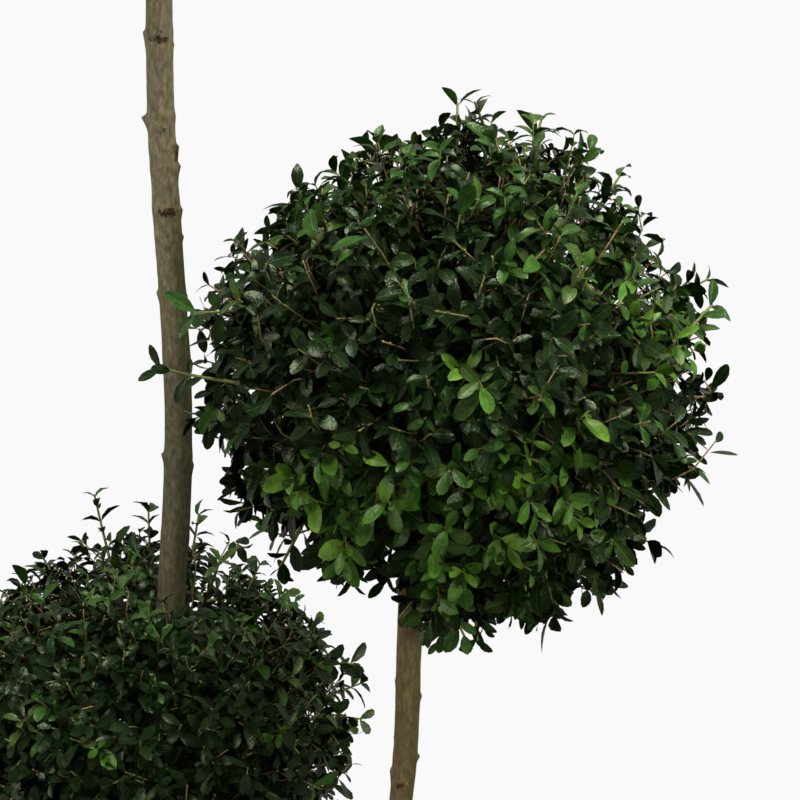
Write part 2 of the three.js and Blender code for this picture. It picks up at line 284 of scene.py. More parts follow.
# Swells and hollows of a clipped surface, by angle in the front view, width of that angle and share
SWELLS = {
    "middle_ball": [
        (2, 10, -0.045),
        (28, 9, -0.07),
        (48, 8, -0.09),
        (60, 6, 0.03),
        (101, 7, -0.05),
        (111, 6, 0.08),
        (125, 9, -0.045),
        (146, 12, -0.015),
        (162, 7, 0.05),
        (194, 5, 0.03),
        (206, 5, -0.05),
        (213, 4, 0.07),
        (227, 9, -0.17),
        (250, 7, -0.31),
        (266, 4, 0.1),
        (281, 5, -0.06),
        (288, 6, 0.08),
        (299, 6, -0.04),
        (309, 8, 0.09),
        (326, 8, -0.09),
    ],
    "lower_ball": [(140, 19, 0.06), (98, 8, 0.07), (80, 12, -0.03), (52, 10, -0.055)],
    "top_ball": [(70, 20, 0.03), (205, 25, -0.03), (300, 15, 0.03)],
}

# The frame's sprigs that the shears missed: angle in the front view, lean to the back, reach of the leaf
# tips. The near ball's left one is the first of the loose shoots instead.
SPRIGS = {
    "lower_ball": [
        (106, 0.1, 240),
        (94, 0.2, 219),
        (79, 0, 218),
        (58, -0.1, 199),
        (122, -0.1, 206),
        (13, 0, 209),
        (356, 0.3, 199),
        (150, 0.7, 202),
        (40, 1.2, 201),
    ],
    "middle_ball": [
        (90, -0.2, 207),
        (71, 0.1, 214),
        (50, -0.1, 200),
        (20, 0, 211),
        (338, 0.1, 208),
        (274, -0.3, 212),
        (125, 0.7, 205),
        (30, 1, 205),
    ],
    "top_ball": [
        (96, 0.1, 206),
        (66, -0.4, 196),
        (160, -0.6, 192),
        (20, 0.5, 194),
        (120, 0.9, 192),
        (250, 0.7, 190),
    ],
}

# Where young sprays show in front of the near ball, made stronger as painted light where its front and right
# are more lit: place in its front view, width, height and strength
YOUNG_AND_PAINTED_LIGHT_PATCHES = [
    (0.04, -0.08, 0.14, 0.08, 0.7),
    (0.25, -0.48, 0.20, 0.14, 1.0),
    (-0.42, -0.50, 0.28, 0.16, 0.8),
    (0.02, -0.68, 0.22, 0.12, 0.45),
    (0.57, -0.42, 0.12, 0.10, 0.8),
    (0.80, 0.20, 0.16, 0.16, 0.7),
    (0.48, 0.34, 0.20, 0.10, 0.5),
    (0.1, -0.45, 0.60, 0.30, 0.08),
]

# Where the near ball's leaves are given deep tints as painted shade, on its left and middle, in the same
# terms
SHADED_PATCHES = [(-0.7, 0.1, 0.35, 0.35, 4.5), (-0.1, 0.15, 0.3, 0.2, 4.0)]

# Loose shoots that run out over the clipped surface: both ends of the twig, from the ball's middle
LOOSE_SHOOTS = {
    "middle_ball": [
        ((-108, -96, -13), (-204, -70, 1)),
        ((-112, -78, 44), (-178, -88, 37)),
        ((108, -88, -14), (173, -60, 44)),
        ((-26, -84, -112), (3, -95, -178)),
        ((-16, -64, -122), (-22, -66, -172)),
        ((60, -50, 110), (95, -20, 156)),
    ],
    "lower_ball": [
        ((110, 10, 24), (186, 10, 8)),
        ((105, -20, 72), (178, -10, 62)),
        ((22, -102, 50), (28, -110, 120)),
        ((10, -104, 52), (12, -112, 116)),
        ((34, -100, 48), (42, -108, 114)),
        ((16, -112, 40), (20, -122, 104)),
        ((30, -112, 40), (36, -120, 100)),
    ],
    "top_ball": [((-50, -90, 74), (-88, -120, 124))],
}

# Base colours, as linear light
LEAF_TINTS = {
    "leaf_deep": (0.0084, 0.0190, 0.0056),
    "leaf_dark": (0.0126, 0.0288, 0.0068),
    "leaf_green": (0.029, 0.075, 0.013),
    "leaf_olive": (0.043, 0.078, 0.016),
    "leaf_fresh": (0.053, 0.136, 0.016),
    "leaf_young": (0.095, 0.194, 0.020),
}
LEAF_GLOSS = (0.86, 1.0, 0.62)
LEAF_MOTTLE = (0.65, 1.3)

# Chance of each leaf tint in the order above, and what is added to it at the top (olive leaves, partly
# painted light from above) and in young sprays (partly painted light)
TINT_CHANCES = {
    "leaf_deep": 0.32,
    "leaf_dark": 0.36,
    "leaf_green": 0.22,
    "leaf_olive": 0.07,
    "leaf_fresh": 0.026,
    "leaf_young": 0.004,
}
# Partly olive leaves and partly painted light: the top is made paler, with fewer deep tints, standing in for
# light from above
TOP_TINTS_AND_PAINTED_LIGHT = {"leaf_green": 0.4, "leaf_olive": 0.25}
TOP_DEEP_LOSS_AND_PAINTED_LIGHT = 0.75
YOUNG_AND_PAINTED_LIGHT_TINTS = {"leaf_green": 1.2, "leaf_fresh": 1.6, "leaf_young": 1.2}
LOWER_BALL_DEEP = 1.8
SPRIG_GREEN_CHANCE = 1.5
DARKER_LEAF_CHANCE = 0.3

# Barks: from the cracks to the ridges
STEM_BARKS = {
    "main_stem": ((0.057, 0.048, 0.026), (0.098, 0.083, 0.045), (0.155, 0.135, 0.086)),
    "side_stem": ((0.112, 0.078, 0.035), (0.165, 0.118, 0.054), (0.245, 0.182, 0.094)),
}
# Painted shade: stem bark is multiplied darker and greener on its right side below these heights in
# millimetres, standing in for the near ball's shade
BARK_PAINTED_SHADE = (0.50, 0.56, 0.38)
PAINTED_SHADE_FROM, PAINTED_SHADE_TO = 1200, 1120
BARK_WARMTH = (1.08, 1.02, 0.90)
SCAR_RAGGEDNESS = 2.0
SCAR_EDGE = (1.45, 1.75)
# Painted light: the stem bark is paler from these heights in metres upwards, where the upper stem gets more
# light
UPPER_BARK_PAINTED_LIGHT = (2.1, 2.1, 2.2)
PAINTED_LIGHT_FROM, PAINTED_LIGHT_TO = 1.0, 1.2
SCAR_BLACK = (0.034, 0.019, 0.011)
SCAR_RED = (0.120, 0.048, 0.020)
SCAR_BROWN = (0.060, 0.030, 0.013)
STEM_BUD_TAN = (0.270, 0.175, 0.090)
TWIG_BROWN = (0.052, 0.035, 0.016)
TWIG_TAN = (0.310, 0.205, 0.085)
TWIG_GREEN = (0.210, 0.200, 0.055)
BUD_YELLOW = (0.330, 0.270, 0.060)
SPRIG_GREEN = (0.165, 0.180, 0.045)
TWIG_BARKS = {
    "twig_bark": (SCAR_BROWN, TWIG_BROWN),
    "green_twig_bark": (TWIG_BROWN, TWIG_GREEN),
    "tan_twig_bark": (TWIG_BROWN, TWIG_TAN),
    "bud_yellow": (TWIG_TAN, BUD_YELLOW),
    "sprig_bark": (TWIG_GREEN, SPRIG_GREEN),
}
OLD_BARK, GREEN_BARK, TAN_BARK, BUD_SKIN, SPRIG_BARK = range(len(TWIG_BARKS))

# Pot and compost colours
POT_DARK = (0.016, 0.016, 0.017)
POT_PALE = (0.030, 0.030, 0.031)
COMPOST_DARK = (0.012, 0.007, 0.004)
COMPOST_PALE = (0.050, 0.030, 0.017)
CHIP_DARK = (0.040, 0.020, 0.010)
CHIP_PALE = (0.150, 0.085, 0.045)

# Studio and camera, in metres
BACKGROUND = (0.947, 0.947, 0.947)
FLOOR_PALE = (0.60, 0.60, 0.60)
SKY_STOPS = [
    (0.0, (0.19, 0.19, 0.17)),
    (0.45, (0.29, 0.29, 0.26)),
    (0.6, (0.38, 0.38, 0.34)),
    (1.0, (0.56, 0.56, 0.50)),
]
STUDIO_LIGHTS = {
    "key_light": {"place": (0.3, -1.4, 3.7), "aim": (0.1, -0.1, 1.1), "size": 1.3, "power": 112},
    "left_light": {"place": (-2.9, -1.0, 1.7), "aim": (0.0, 0.0, 1.1), "size": 1.0, "power": 28},
    "right_light": {"place": (2.6, -1.8, 1.1), "aim": (0.1, 0.0, 1.0), "size": 1.4, "power": 50},
}
FLOOR_RADIUS = 60
FLOOR_FADE = (0.8, 2.6)
CAMERA_PLACE = (0.128, -1.330, 1.015)
CAMERA_LENS = 71.9
CAMERA_SENSOR = 36


# Vectors and repeatable chance


def seeded_random(seed):
    """A repeatable stream of numbers from 0 to 1, the same one that grew the frame."""
    state = seed

    def draw():
        nonlocal state
        state = (state + 0x6D2B79F5) & MASK
        t = ((state ^ (state >> 15)) * (1 | state)) & MASK
        t = ((t + ((t ^ (t >> 7)) * (61 | t) & MASK)) & MASK) ^ t
        return (t ^ (t >> 14)) / (MASK + 1)

    return draw


def unit(vectors):
    return vectors / np.maximum(np.linalg.norm(vectors, axis=-1, keepdims=True), 1e-9)


def lerp(a, b, share):
    return a + (b - a) * share


def smoothstep(x, low, high):
    t = np.clip((x - low) / (high - low), 0, 1)
    return t * t * (3 - 2 * t)


def even_directions(count):
    """Directions spread evenly over a sphere."""
    index = np.arange(count)
    z = 1 - (2 * index + 1) / count
    ring = np.sqrt(1 - z * z)
    return np.stack([ring * np.cos(index * GOLDEN_ANGLE), ring * np.sin(index * GOLDEN_ANGLE), z], axis=1)


def leaning_direction(heading, lean, turn):
    """A direction that leans away from a heading, towards one side of it."""
    reference = np.array([1.0, 0, 0]) if abs(heading[2]) > 0.9 else UP
    side = unit(np.cross(heading, reference))
    side = side * math.cos(turn) + np.cross(heading, side) * math.sin(turn)
    return unit(heading * math.cos(lean) + side * math.sin(lean))


# Curves


def spline_through(way, per_span=60):
    """Points of a centripetal Catmull-Rom curve through a way."""
    way = np.array(way, float)
    ends = np.vstack([2 * way[0] - way[1], way, 2 * way[-1] - way[-2]])
    gaps = np.linalg.norm(np.diff(ends, axis=0), axis=1) ** 0.5
    points = []
    for i in range(1, len(ends) - 2):
        before, low, high, after = ends[i - 1 : i + 3]
        d0, d1, d2 = gaps[i - 1 : i + 2]
        leave = ((low - before) / d0 - (high - before) / (d0 + d1) + (high - low) / d1) * d1
        arrive = ((high - low) / d1 - (after - low) / (d1 + d2) + (after - high) / d2) * d1
        t = np.linspace(0, 1, per_span, endpoint=False)[:, None]
        square = -3 * low + 3 * high - 2 * leave - arrive
        cube = 2 * low - 2 * high + leave + arrive
        points.append(low + leave * t + square * t**2 + cube * t**3)
    points.append(way[-1:])
    return np.vstack(points)


class Limb:
    """A stem's centre line and its radius at any share of its length."""

    def __init__(self, way, thickness):
        self.points = spline_through(way)
        steps = np.linalg.norm(np.diff(self.points, axis=0), axis=1)
        self.along = np.concatenate([[0], np.cumsum(steps)])
        self.length = self.along[-1]
        self.thickness = thickness

    def at(self, share):
        distance = np.asarray(share) * self.length
        return np.stack([np.interp(distance, self.along, self.points[:, k]) for k in range(3)], axis=-1)

    def radius(self, share):
        thickness = self.thickness
        flare = thickness["flare"] * np.exp(-share * self.length / thickness["flare_height"])
        head = thickness["head"] * smoothstep(share, 0.55, 0.85)
        return lerp(thickness["foot"], thickness["tip"], share) + flare + head

    def share_at_height(self, height):
        return np.interp(height, self.points[:, 2], self.along) / self.length


def bezier(starts, middles, ends, shares):
    """Points along many quadratic curves at once: one row of shares for each curve."""
    t = shares[..., None]
    return starts[:, None] * (1 - t) ** 2 + 2 * middles[:, None] * t * (1 - t) + ends[:, None] * t * t


# Meshes from arrays


def make_mesh(name, vertices, faces, materials, material_index=None):
    """A smooth piece from points in millimetres and faces that all have as many corners."""
    mesh = bpy.data.meshes.new(name)
    corners = faces.shape[1]
    mesh.vertices.add(len(vertices))
    mesh.vertices.foreach_set("co", (vertices * MM).astype(np.float32).ravel())
    mesh.loops.add(faces.size)
    mesh.loops.foreach_set("vertex_index", faces.astype(np.int32).ravel())
    mesh.polygons.add(len(faces))
    mesh.polygons.foreach_set("loop_start", np.arange(0, faces.size, corners, dtype=np.int32))
    mesh.polygons.foreach_set("use_smooth", np.ones(len(faces), dtype=bool))
    for material in materials:
        mesh.materials.append(material)
    if material_index is not None:
        mesh.polygons.foreach_set("material_index", material_index.astype(np.int32))
    mesh.update(calc_edges=True)
    mesh.validate()
    return add_piece(name, mesh)


def add_object(name, data):
    added = bpy.data.objects.new(name, data)
    bpy.context.scene.collection.objects.link(added)
    return added


def add_piece(name, mesh):
    piece = add_object(name, mesh)
    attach(piece, "root")
    return piece


def finished_data(mesh, name, material):
    """A bmesh as mesh data with its one material."""
    data = bpy.data.meshes.new(name)
    mesh.to_mesh(data)
    mesh.free()
    data.materials.append(material)
    return data


def square_frames(points, reference=None):
    """Two directions square to each point's path, for many paths at once."""
    tangents = unit(np.gradient(points, axis=-2))
    if reference is None:
        overall = unit(points[..., -1:, :] - points[..., :1, :])
        reference = np.where(np.abs(overall[..., 2:3]) > 0.8, np.array([0, 1.0, 0]), UP)
    across = unit(np.cross(reference, tangents))
    return across, np.cross(tangents, across)


def ring_directions(across, over, angles):
    """Directions all round, at these angles, for each pair of directions square to a path."""
    return across[..., None, :] * np.cos(angles)[:, None] + over[..., None, :] * np.sin(angles)[:, None]


def wall_triangles(index):
    """Triangles between each ring of point numbers and the next: index is (..., rings, sides)."""
    following = np.roll(index, -1, axis=-1)
    low, low_next = index[..., :-1, :], following[..., :-1, :]
    high, high_next = index[..., 1:, :], following[..., 1:, :]
    halves = (low, low_next, high_next), (low, high_next, high)
    return np.vstack([np.stack(half, axis=-1).reshape(-1, 3) for half in halves])


def fan_triangles(rings, tips):
    """Triangles from each side of a ring of point numbers to its tip."""
    following = np.roll(rings, -1, axis=-1)
    return np.stack([rings, following, np.broadcast_to(tips, rings.shape)], axis=-1).reshape(-1, 3)


def tubes(points, radii, sides):
    """Tubes with pointed ends along many paths of equal point count: points (n, p, 3), radii (n, p)."""
    count, steps, _ = points.shape
    angles = np.arange(sides) * 2 * math.pi / sides
    ring = ring_directions(*square_frames(points), angles)
    surface = points[:, :, None] + ring * radii[:, :, None, None]
    outward = unit(points[:, -1] - points[:, -2])
    tip_points = points[:, -1] + outward * radii[:, -1:] * TUBE_TIP
    index = np.arange(count * steps * sides).reshape(count, steps, sides)
    tips = index.size + np.arange(count)
    faces = np.vstack([wall_triangles(index), fan_triangles(index[:, -1], tips[:, None])])
    return np.vstack([surface.reshape(-1, 3), tip_points]), faces


def capped_rings(surface, low_end, high_end):
    """Rings of points (r, s, 3) as one closed mesh of triangles, with a point at each end."""
    rings, sides = surface.shape[:2]
    index = np.arange(rings * sides).reshape(rings, sides)
    low_cap = fan_triangles(index[0], index.size)[:, [1, 0, 2]]
    high_cap = fan_triangles(index[-1], index.size + 1)
    vertices = np.vstack([surface.reshape(-1, 3), low_end, high_end])
    return vertices, np.vstack([wall_triangles(index), low_cap, high_cap])


def joined(parts):
    """Several (vertices, faces, material numbers) as one."""
    starts = np.cumsum([0] + [len(vertices) for vertices, _, _ in parts])
    vertices = np.vstack([part[0] for part in parts])
    faces = np.vstack([part[1] + start for part, start in zip(parts, starts)])
    return vertices, faces, np.concatenate([part[2] for part in parts])


# Materials


def new_material(name, roughness, specular=0.5):
    material = bpy.data.materials.new(name)
    material.use_nodes = True
    shader = material.node_tree.nodes["Principled BSDF"]
    shader.inputs["Roughness"].default_value = roughness
    shader.inputs["Specular IOR Level"].default_value = specular
    return material, material.node_tree, shader


def object_place(tree):
    return tree.nodes.new("ShaderNodeTexCoord").outputs["Object"]


def noise_node(tree, scale, detail=4, stretch=(1, 1, 1)):
    """Noise in object space; stretch above 1 draws the pattern out along that axis."""
    mapping = tree.nodes.new("ShaderNodeMapping")
    mapping.inputs["Scale"].default_value = [1 / amount for amount in stretch]
    tree.links.new(object_place(tree), mapping.inputs["Vector"])
    noise = tree.nodes.new("ShaderNodeTexNoise")
    noise.inputs["Scale"].default_value = scale
    noise.inputs["Detail"].default_value = detail
    tree.links.new(mapping.outputs["Vector"], noise.inputs["Vector"])
    return noise.outputs["Fac"]


def ramp_node(tree, value, stops):
    ramp = tree.nodes.new("ShaderNodeValToRGB")
    elements = ramp.color_ramp.elements
    while len(elements) < len(stops):
        elements.new(0.5)
    for element, (place, colour) in zip(elements, stops):
        element.position = place
        element.color = (*colour, 1)
    tree.links.new(value, ramp.inputs["Fac"])
    return ramp.outputs["Color"]


def range_node(tree, value, low, high):
    """A value turned to 0 at the low end of a range and to 1 at its high end."""
    node = tree.nodes.new("ShaderNodeMapRange")
    node.inputs["From Min"].default_value = low
    node.inputs["From Max"].default_value = high
    tree.links.new(value, node.inputs["Value"])
    return node.outputs["Result"]


def height_node(tree, place):
    split = tree.nodes.new("ShaderNodeSeparateXYZ")
    tree.links.new(place, split.inputs["Vector"])
    return split.outputs["Z"]


def add_bump(tree, shader, height, strength, distance):
    bump = tree.nodes.new("ShaderNodeBump")
    bump.inputs["Strength"].default_value = strength
    bump.inputs["Distance"].default_value = distance
    tree.links.new(height, bump.inputs["Height"])
    tree.links.new(bump.outputs["Normal"], shader.inputs["Normal"])


def leaf_material(name, colour):
    material, tree, shader = new_material(name, roughness=0.24, specular=0.21)
    shader.inputs["Specular Tint"].default_value = (*LEAF_GLOSS, 1)
    darker, paler = (tuple(share * channel for channel in colour) for share in LEAF_MOTTLE)
    patches = noise_node(tree, scale=120, detail=3)
    tree.links.new(ramp_node(tree, patches, [(0.35, darker), (0.65, paler)]), shader.inputs["Base Color"])
    add_bump(tree, shader, noise_node(tree, scale=560, detail=3), strength=0.7, distance=0.0006)
    return material


def bark_material(name, dark, mid, pale, grain=1.0):
    material, tree, shader = new_material(name, roughness=0.75, specular=0.3)
    mottle = noise_node(tree, scale=330 * grain, detail=9, stretch=(1, 1, 2.4))
    colour = ramp_node(tree, mottle, [(0.3, dark), (0.5, mid), (0.72, pale)])
    tree.links.new(colour, shader.inputs["Base Color"])
    cracks = noise_node(tree, scale=420 * grain, detail=6, stretch=(1, 1, 3))
    add_bump(tree, shader, cracks, strength=0.5, distance=0.0005)
    return material


def mixed(tree, mode, factor, first, second):
    """Two colours mixed by a factor socket."""
    mix = tree.nodes.new("ShaderNodeMix")
    mix.data_type = "RGBA"
    mix.blend_type = mode
    tree.links.new(factor, mix.inputs["Factor"])
    tree.links.new(first, mix.inputs["A"])
    if isinstance(second, tuple):
        mix.inputs["B"].default_value = (*second, 1)
    else:
        tree.links.new(second, mix.inputs["B"])
    return mix.outputs["Result"]


def attribute_node(tree, name):
    attribute = tree.nodes.new("ShaderNodeAttribute")
    attribute.attribute_name = name
    return attribute.outputs["Fac"]


def scar_edge(tree):
    """Where a scar's brown shows: a ragged edge round the places that the mesh marks as scars."""
    ragged = tree.nodes.new("ShaderNodeMath")
    ragged.operation = "MULTIPLY_ADD"
    ragged.inputs[1].default_value = SCAR_RAGGEDNESS
    tree.links.new(noise_node(tree, scale=330, detail=5), ragged.inputs[0])
    tree.links.new(attribute_node(tree, "scar"), ragged.inputs[2])
    return range_node(tree, ragged.outputs["Value"], *SCAR_EDGE)


def stem_bark(name):
    """A stem's bark: paler towards the top as painted light, darker and greener on its right side low down as
    painted shade, and brown at its scars.
    """
    material = bark_material(name + "_bark", *STEM_BARKS[name])
    tree = material.node_tree
    shader = tree.nodes["Principled BSDF"]
    colour = shader.inputs["Base Color"].links[0].from_socket
    # Painted light: paler towards the top
    painted_light = range_node(tree, height_node(tree, object_place(tree)), PAINTED_LIGHT_FROM, PAINTED_LIGHT_TO)
    colour = mixed(tree, "MULTIPLY", painted_light, colour, UPPER_BARK_PAINTED_LIGHT)
    # Painted shade: darker and greener on the right side low down
    colour = mixed(tree, "MULTIPLY", attribute_node(tree, "painted_shade"), colour, BARK_PAINTED_SHADE)
    patches = ramp_node(tree, noise_node(tree, scale=60, detail=4), [(0.42, (0, 0, 0)), (0.58, (1, 1, 1))])
    colour = mixed(tree, "MULTIPLY", patches, colour, BARK_WARMTH)
    scar = ramp_node(tree, noise_node(tree, scale=230, detail=3), [(0.45, SCAR_BLACK), (0.62, SCAR_RED)])
    tree.links.new(mixed(tree, "MIX", scar_edge(tree), colour, scar), shader.inputs["Base Color"])
    return material


def speckled_material(name, dark, pale, scale, roughness, bump):
    material, tree, shader = new_material(name, roughness)
    grains = noise_node(tree, scale=scale, detail=6)
    tree.links.new(ramp_node(tree, grains, [(0.35, dark), (0.7, pale)]), shader.inputs["Base Color"])
    add_bump(tree, shader, noise_node(tree, scale=scale * 3, detail=4), strength=0.4, distance=bump)
    return material


# Stems


def relief(shape, seed, scales):
    """Smooth random relief over a stem's surface that closes round the ring: shape is (rings, sides)."""
    random = np.random.default_rng(seed)
    rings, sides = shape
    height = np.zeros(shape)
    along = np.arange(rings)[:, None]
    around = np.arange(sides)[None] * 2 * math.pi / sides
    for wave, lobes, amount in scales:
        for _ in range(RELIEF_WAVES):
            phase, drift, turn = random.uniform(0, 2 * math.pi, 3)
            pitch = wave * random.uniform(0.7, 1.4)
            lobe = round(lobes * random.uniform(0.6, 1.5))
            wander = drift * np.cos(around + turn)
            wave_form = np.sin(along / pitch + phase + wander) * np.cos(lobe * around + turn)
            height += amount / RELIEF_WAVES * wave_form
    return height


def knot_rise(limb, shares, angles, knots):
    """How far knots, bud scars and spurs stand out of a stem, and how brown they stain it."""
    rise = np.zeros((len(shares), len(angles)))
    stain = np.zeros_like(rise)
    for height, degrees, width, amount, run, brown in knots:
        middle = limb.share_at_height(height)
        along = (shares - middle)[:, None] * limb.length
        turn = (angles - math.radians(degrees) + math.pi) % (2 * math.pi) - math.pi
        around = turn[None] * limb.radius(middle)
        above = along > 0
        slope = np.clip(1 - np.abs(along) / np.where(above, 0.5 * width + 1, run), 0, 1)
        rise += amount * slope**1.3 * np.exp(-((around / (0.6 * width)) ** 2))
        rise += 0.2 * amount * np.exp(-((along / (width * 1.4)) ** 2))
        away = (along / np.where(above, 0.3 * width, 0.6 * run + 1)) ** 2 + (around / (0.85 * width)) ** 2
        stain = np.maximum(stain, brown * np.clip((2 - away) / 1.8, 0, 1))
    return rise, stain


def add_attribute(piece, name, values):
    attribute = piece.data.attributes.new(name, "FLOAT", "POINT")
    attribute.data.foreach_set("value", values.astype(np.float32))


def stem_surface(limb, shares, angles, seed, rise):
    """Rings of points on a stem's surface, with knots, bark relief and a lobed foot."""
    frames = square_frames(limb.at(shares), reference=np.array([0, 1.0, 0]))
    lobes = FOOT_LOBE_RISE * np.cos(FOOT_LOBES * angles + 1)
    foot = np.exp(-shares * limb.length / FOOT_LOBE_RUN)[:, None] * lobes
    radius = limb.radius(shares)[:, None] + rise + relief(rise.shape, seed, BARK_RELIEF) + foot
    return limb.at(shares)[:, None] + ring_directions(*frames, angles) * radius[..., None]


def stem_piece(name, limb, end, knots, seed):
    """A stem as one closed mesh that carries where its scars and its painted shade are, and its buds."""
    shares = np.linspace(0, end, int(end * limb.length / STEM_RING_STEP))
    angles = np.arange(STEM_SIDES) * 2 * math.pi / STEM_SIDES
    points = limb.at(shares)
    rise, scars = knot_rise(limb, shares, angles, knots)
    surface = stem_surface(limb, shares, angles, seed, rise)
    bark = make_mesh(name + "_bark", *capped_rings(surface, points[0], points[-1]), [stem_bark(name)])
    # Painted shade: on the right side, below the given heights
    low_down = smoothstep(-points[:, 2:], -PAINTED_SHADE_FROM, -PAINTED_SHADE_TO)
    painted_shade = low_down * smoothstep(np.cos(angles), -0.1, 0.7)
    for attribute, values in (("scar", scars), ("painted_shade", painted_shade)):
        add_attribute(bark, attribute, np.append(values.ravel(), [0, 0]))
    buds = stem_buds(name, limb)
    for one in (bark, buds):
        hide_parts(name)


def stem_buds(name, limb):
    """Small resting buds that lie on a stem's scars and point up."""
    heights, degrees, sizes = np.array(STEM_BUDS[name]).T
    shares = limb.share_at_height(heights)
    angles = np.radians(degrees)
    outward = np.stack([np.cos(angles), np.sin(angles), np.zeros(len(angles))], axis=1)
    places = limb.at(shares) + outward * (limb.radius(shares) + 0.4)[:, None]
    vertices, faces = bud_shapes(places, unit(UP + outward * 0.35), sizes[:, None])
    bud = bark_material(name + "_bud", SCAR_RED, STEM_BUD_TAN, STEM_BUD_TAN, grain=2)
    return make_mesh(name + "_buds", vertices, faces, [bud])


# Balls of foliage


def limbs_of(ball, spine, low, high):
    """The frame's boughs and twigs again, as curves: the sprigs are the last of the twigs."""
    random = seeded_random(ball["seed"])
    centre, radius = np.array(ball["centre"], float), ball["radius"]
    boughs, twigs = [], []
    for i, heading in enumerate(even_directions(BOUGHS)):
        fork = centre + heading * radius * BOUGH_SHARE
        start_height = min(max(fork[2] - radius * BOUGH_RISE, low), high)
        boughs.append((spine.at(spine.share_at_height(start_height)), fork))
        fan = random() * 2 * math.pi
        for k in range(TWIGS_PER_BOUGH):
            twig_heading = leaning_direction(heading, TWIG_SPREAD, fan + k / TWIGS_PER_BOUGH * 2 * math.pi)
            reach = SHOOT_SHARE if (i * TWIGS_PER_BOUGH + k) % SHOOT_EVERY == 0 else TWIG_SHARE
            share = reach + TWIG_SHARE_JITTER * (2 * random() - 1)
            twigs.append((fork, centre + twig_heading * radius * share))
    for degrees, lean, reach in SPRIGS[ball["name"]]:
        angle = math.radians(degrees)
        heading = unit(np.array([math.cos(angle), lean, math.sin(angle)]))
        root = centre + heading * radius * BOUGH_SHARE - UP * SPRIG_SAG
        twigs.append((root, centre + heading * (reach - LEAF_LENGTH)))
    return gentle_curves(np.array(boughs)), gentle_curves(np.array(twigs))


def straight_lengths(starts, ends):
    """How far it is from one end of each limb to the other, as a column."""
    return np.linalg.norm(ends - starts, axis=1, keepdims=True)


def gentle_curves(limbs, sag=0.05):
    """Curves between pairs of ends that sag a little on their way."""
    starts, ends = limbs[:, 0], limbs[:, 1]
    return starts, (starts + ends) / 2 - UP * sag * straight_lengths(starts, ends), ends


def gaps_between_sprays(ball, directions):
    """Where the sprays stand apart from each other: up to 1 in the middle of a gap between them."""
    x, y, z = (directions * GAP_PITCH).T
    return np.sin(x + ball["seed"]) * np.sin(0.9 * y - ball["seed"]) * np.sin(1.1 * z)


def spots_round(directions, spots):
    """Spots at the rim of the front view, given by angle, width and amount, added up."""
    angle = np.degrees(np.arctan2(directions[:, 2], directions[:, 0]))
    total = np.zeros(len(directions))
    for degrees, width, amount in spots:
        off = (angle - degrees + 180) % 360 - 180
        total += amount * np.exp(-((off / width) ** 2)) * (1 - directions[:, 1] ** 2)
    return total


def swell(ball, directions):
    """How far the clipped surface stands out of a true ball, as a share of its radius."""
    x, y, z = (directions * SWELL_PITCH).T
    seed = ball["seed"]
    share = SWELL_SHARE * (np.sin(x + seed) * np.cos(1.3 * y) + np.sin(1.7 * z + seed) * np.cos(x + 2))
    share += spots_round(directions, SWELLS[ball["name"]])
    for heading, width, amount in BULGES.get(ball["name"], []):
        away = np.linalg.norm(directions - unit(np.array(heading)), axis=1) / width
        share += amount * np.exp(-(away**2))
    return share - HOLLOW_DEPTH * np.clip(gaps_between_sprays(ball, directions), -0.3, 1)


def clear_of_stems(points, stems, room):
    """True where a point keeps this room to every stem."""
    clear = np.ones(len(points), bool)
    for limb, end in stems:
        shares = np.linspace(0, end, 260)
        centres = limb.at(shares)
        radii = limb.radius(shares)
        for block in np.array_split(np.arange(len(points)), max(1, len(points) // 2000)):
            gaps = np.linalg.norm(points[block, None] - centres[None], axis=2) - radii
            clear[block] &= gaps.min(axis=1) > room
    return clear


def branch_from(parents, ends, centre, span, random, bend, rank=1):
    """Curved limbs that leave the parent nearest in direction (or the rank-th) and reach these ends."""
    likeness = unit(ends - centre) @ unit(parents[2] - centre).T
    nearest = np.argsort(-likeness, axis=1)[:, rank - 1]
    share = random.uniform(*span, (len(ends), 1))
    starts = bezier(*(points[nearest] for points in parents), share)[:, 0]
    return starts, ends - bend * straight_lengths(starts, ends) * 0.5, ends


def clear_path(limbs, stems, room=LIMB_ROOM):
    """True where the outer half of a limb, up to its end, keeps clear of every stem."""
    clear = np.ones(len(limbs[0]), bool)
    for share in (0.35, 0.55, 0.75, 1.0):
        clear &= clear_of_stems(bezier(*limbs, np.full((len(limbs[0]), 1), share))[:, 0], stems, room)
    return clear


def led_round_stems(parents, ends, pointing, centre, stems, random):
    """Leafy shoots to these ends: one that would meet a stem has another parent, or is left out."""
    shoots = branch_from(parents, ends, centre, SHOOT_ORIGINS, random, pointing)
    for rank in range(2, PARENTS_TRIED + 1):
        blocked = ~clear_path(shoots, stems)[:, None]
        others = branch_from(parents, ends, centre, SHOOT_ORIGINS, random, pointing, rank)
        shoots = tuple(np.where(blocked, other, shoot) for other, shoot in zip(others, shoots))
    return some_limbs(shoots, clear_path(shoots, stems))


def side_shoots(sprigs, random):
    """Short shoots that fork from the outer part of each sprig and stay within its reach."""
    starts, middles, ends = sprigs
    length = straight_lengths(starts, ends)
    forks = []
    for share in SIDE_SHOOT_SHARES:
        base = bezier(starts, middles, ends, np.full((len(starts), 1), share))[:, 0]
        heading = unit(unit(ends - starts) + random.normal(0, SIDE_SHOOT_LEAN, starts.shape))
        reach = length * (1 - share) * random.uniform(*SIDE_SHOOT_REACH, length.shape) + SIDE_SHOOT_LEAST
        forks.append((base, base + heading * reach * 0.5 - UP * SIDE_SHOOT_SAG, base + heading * reach))
    return together(*forks)


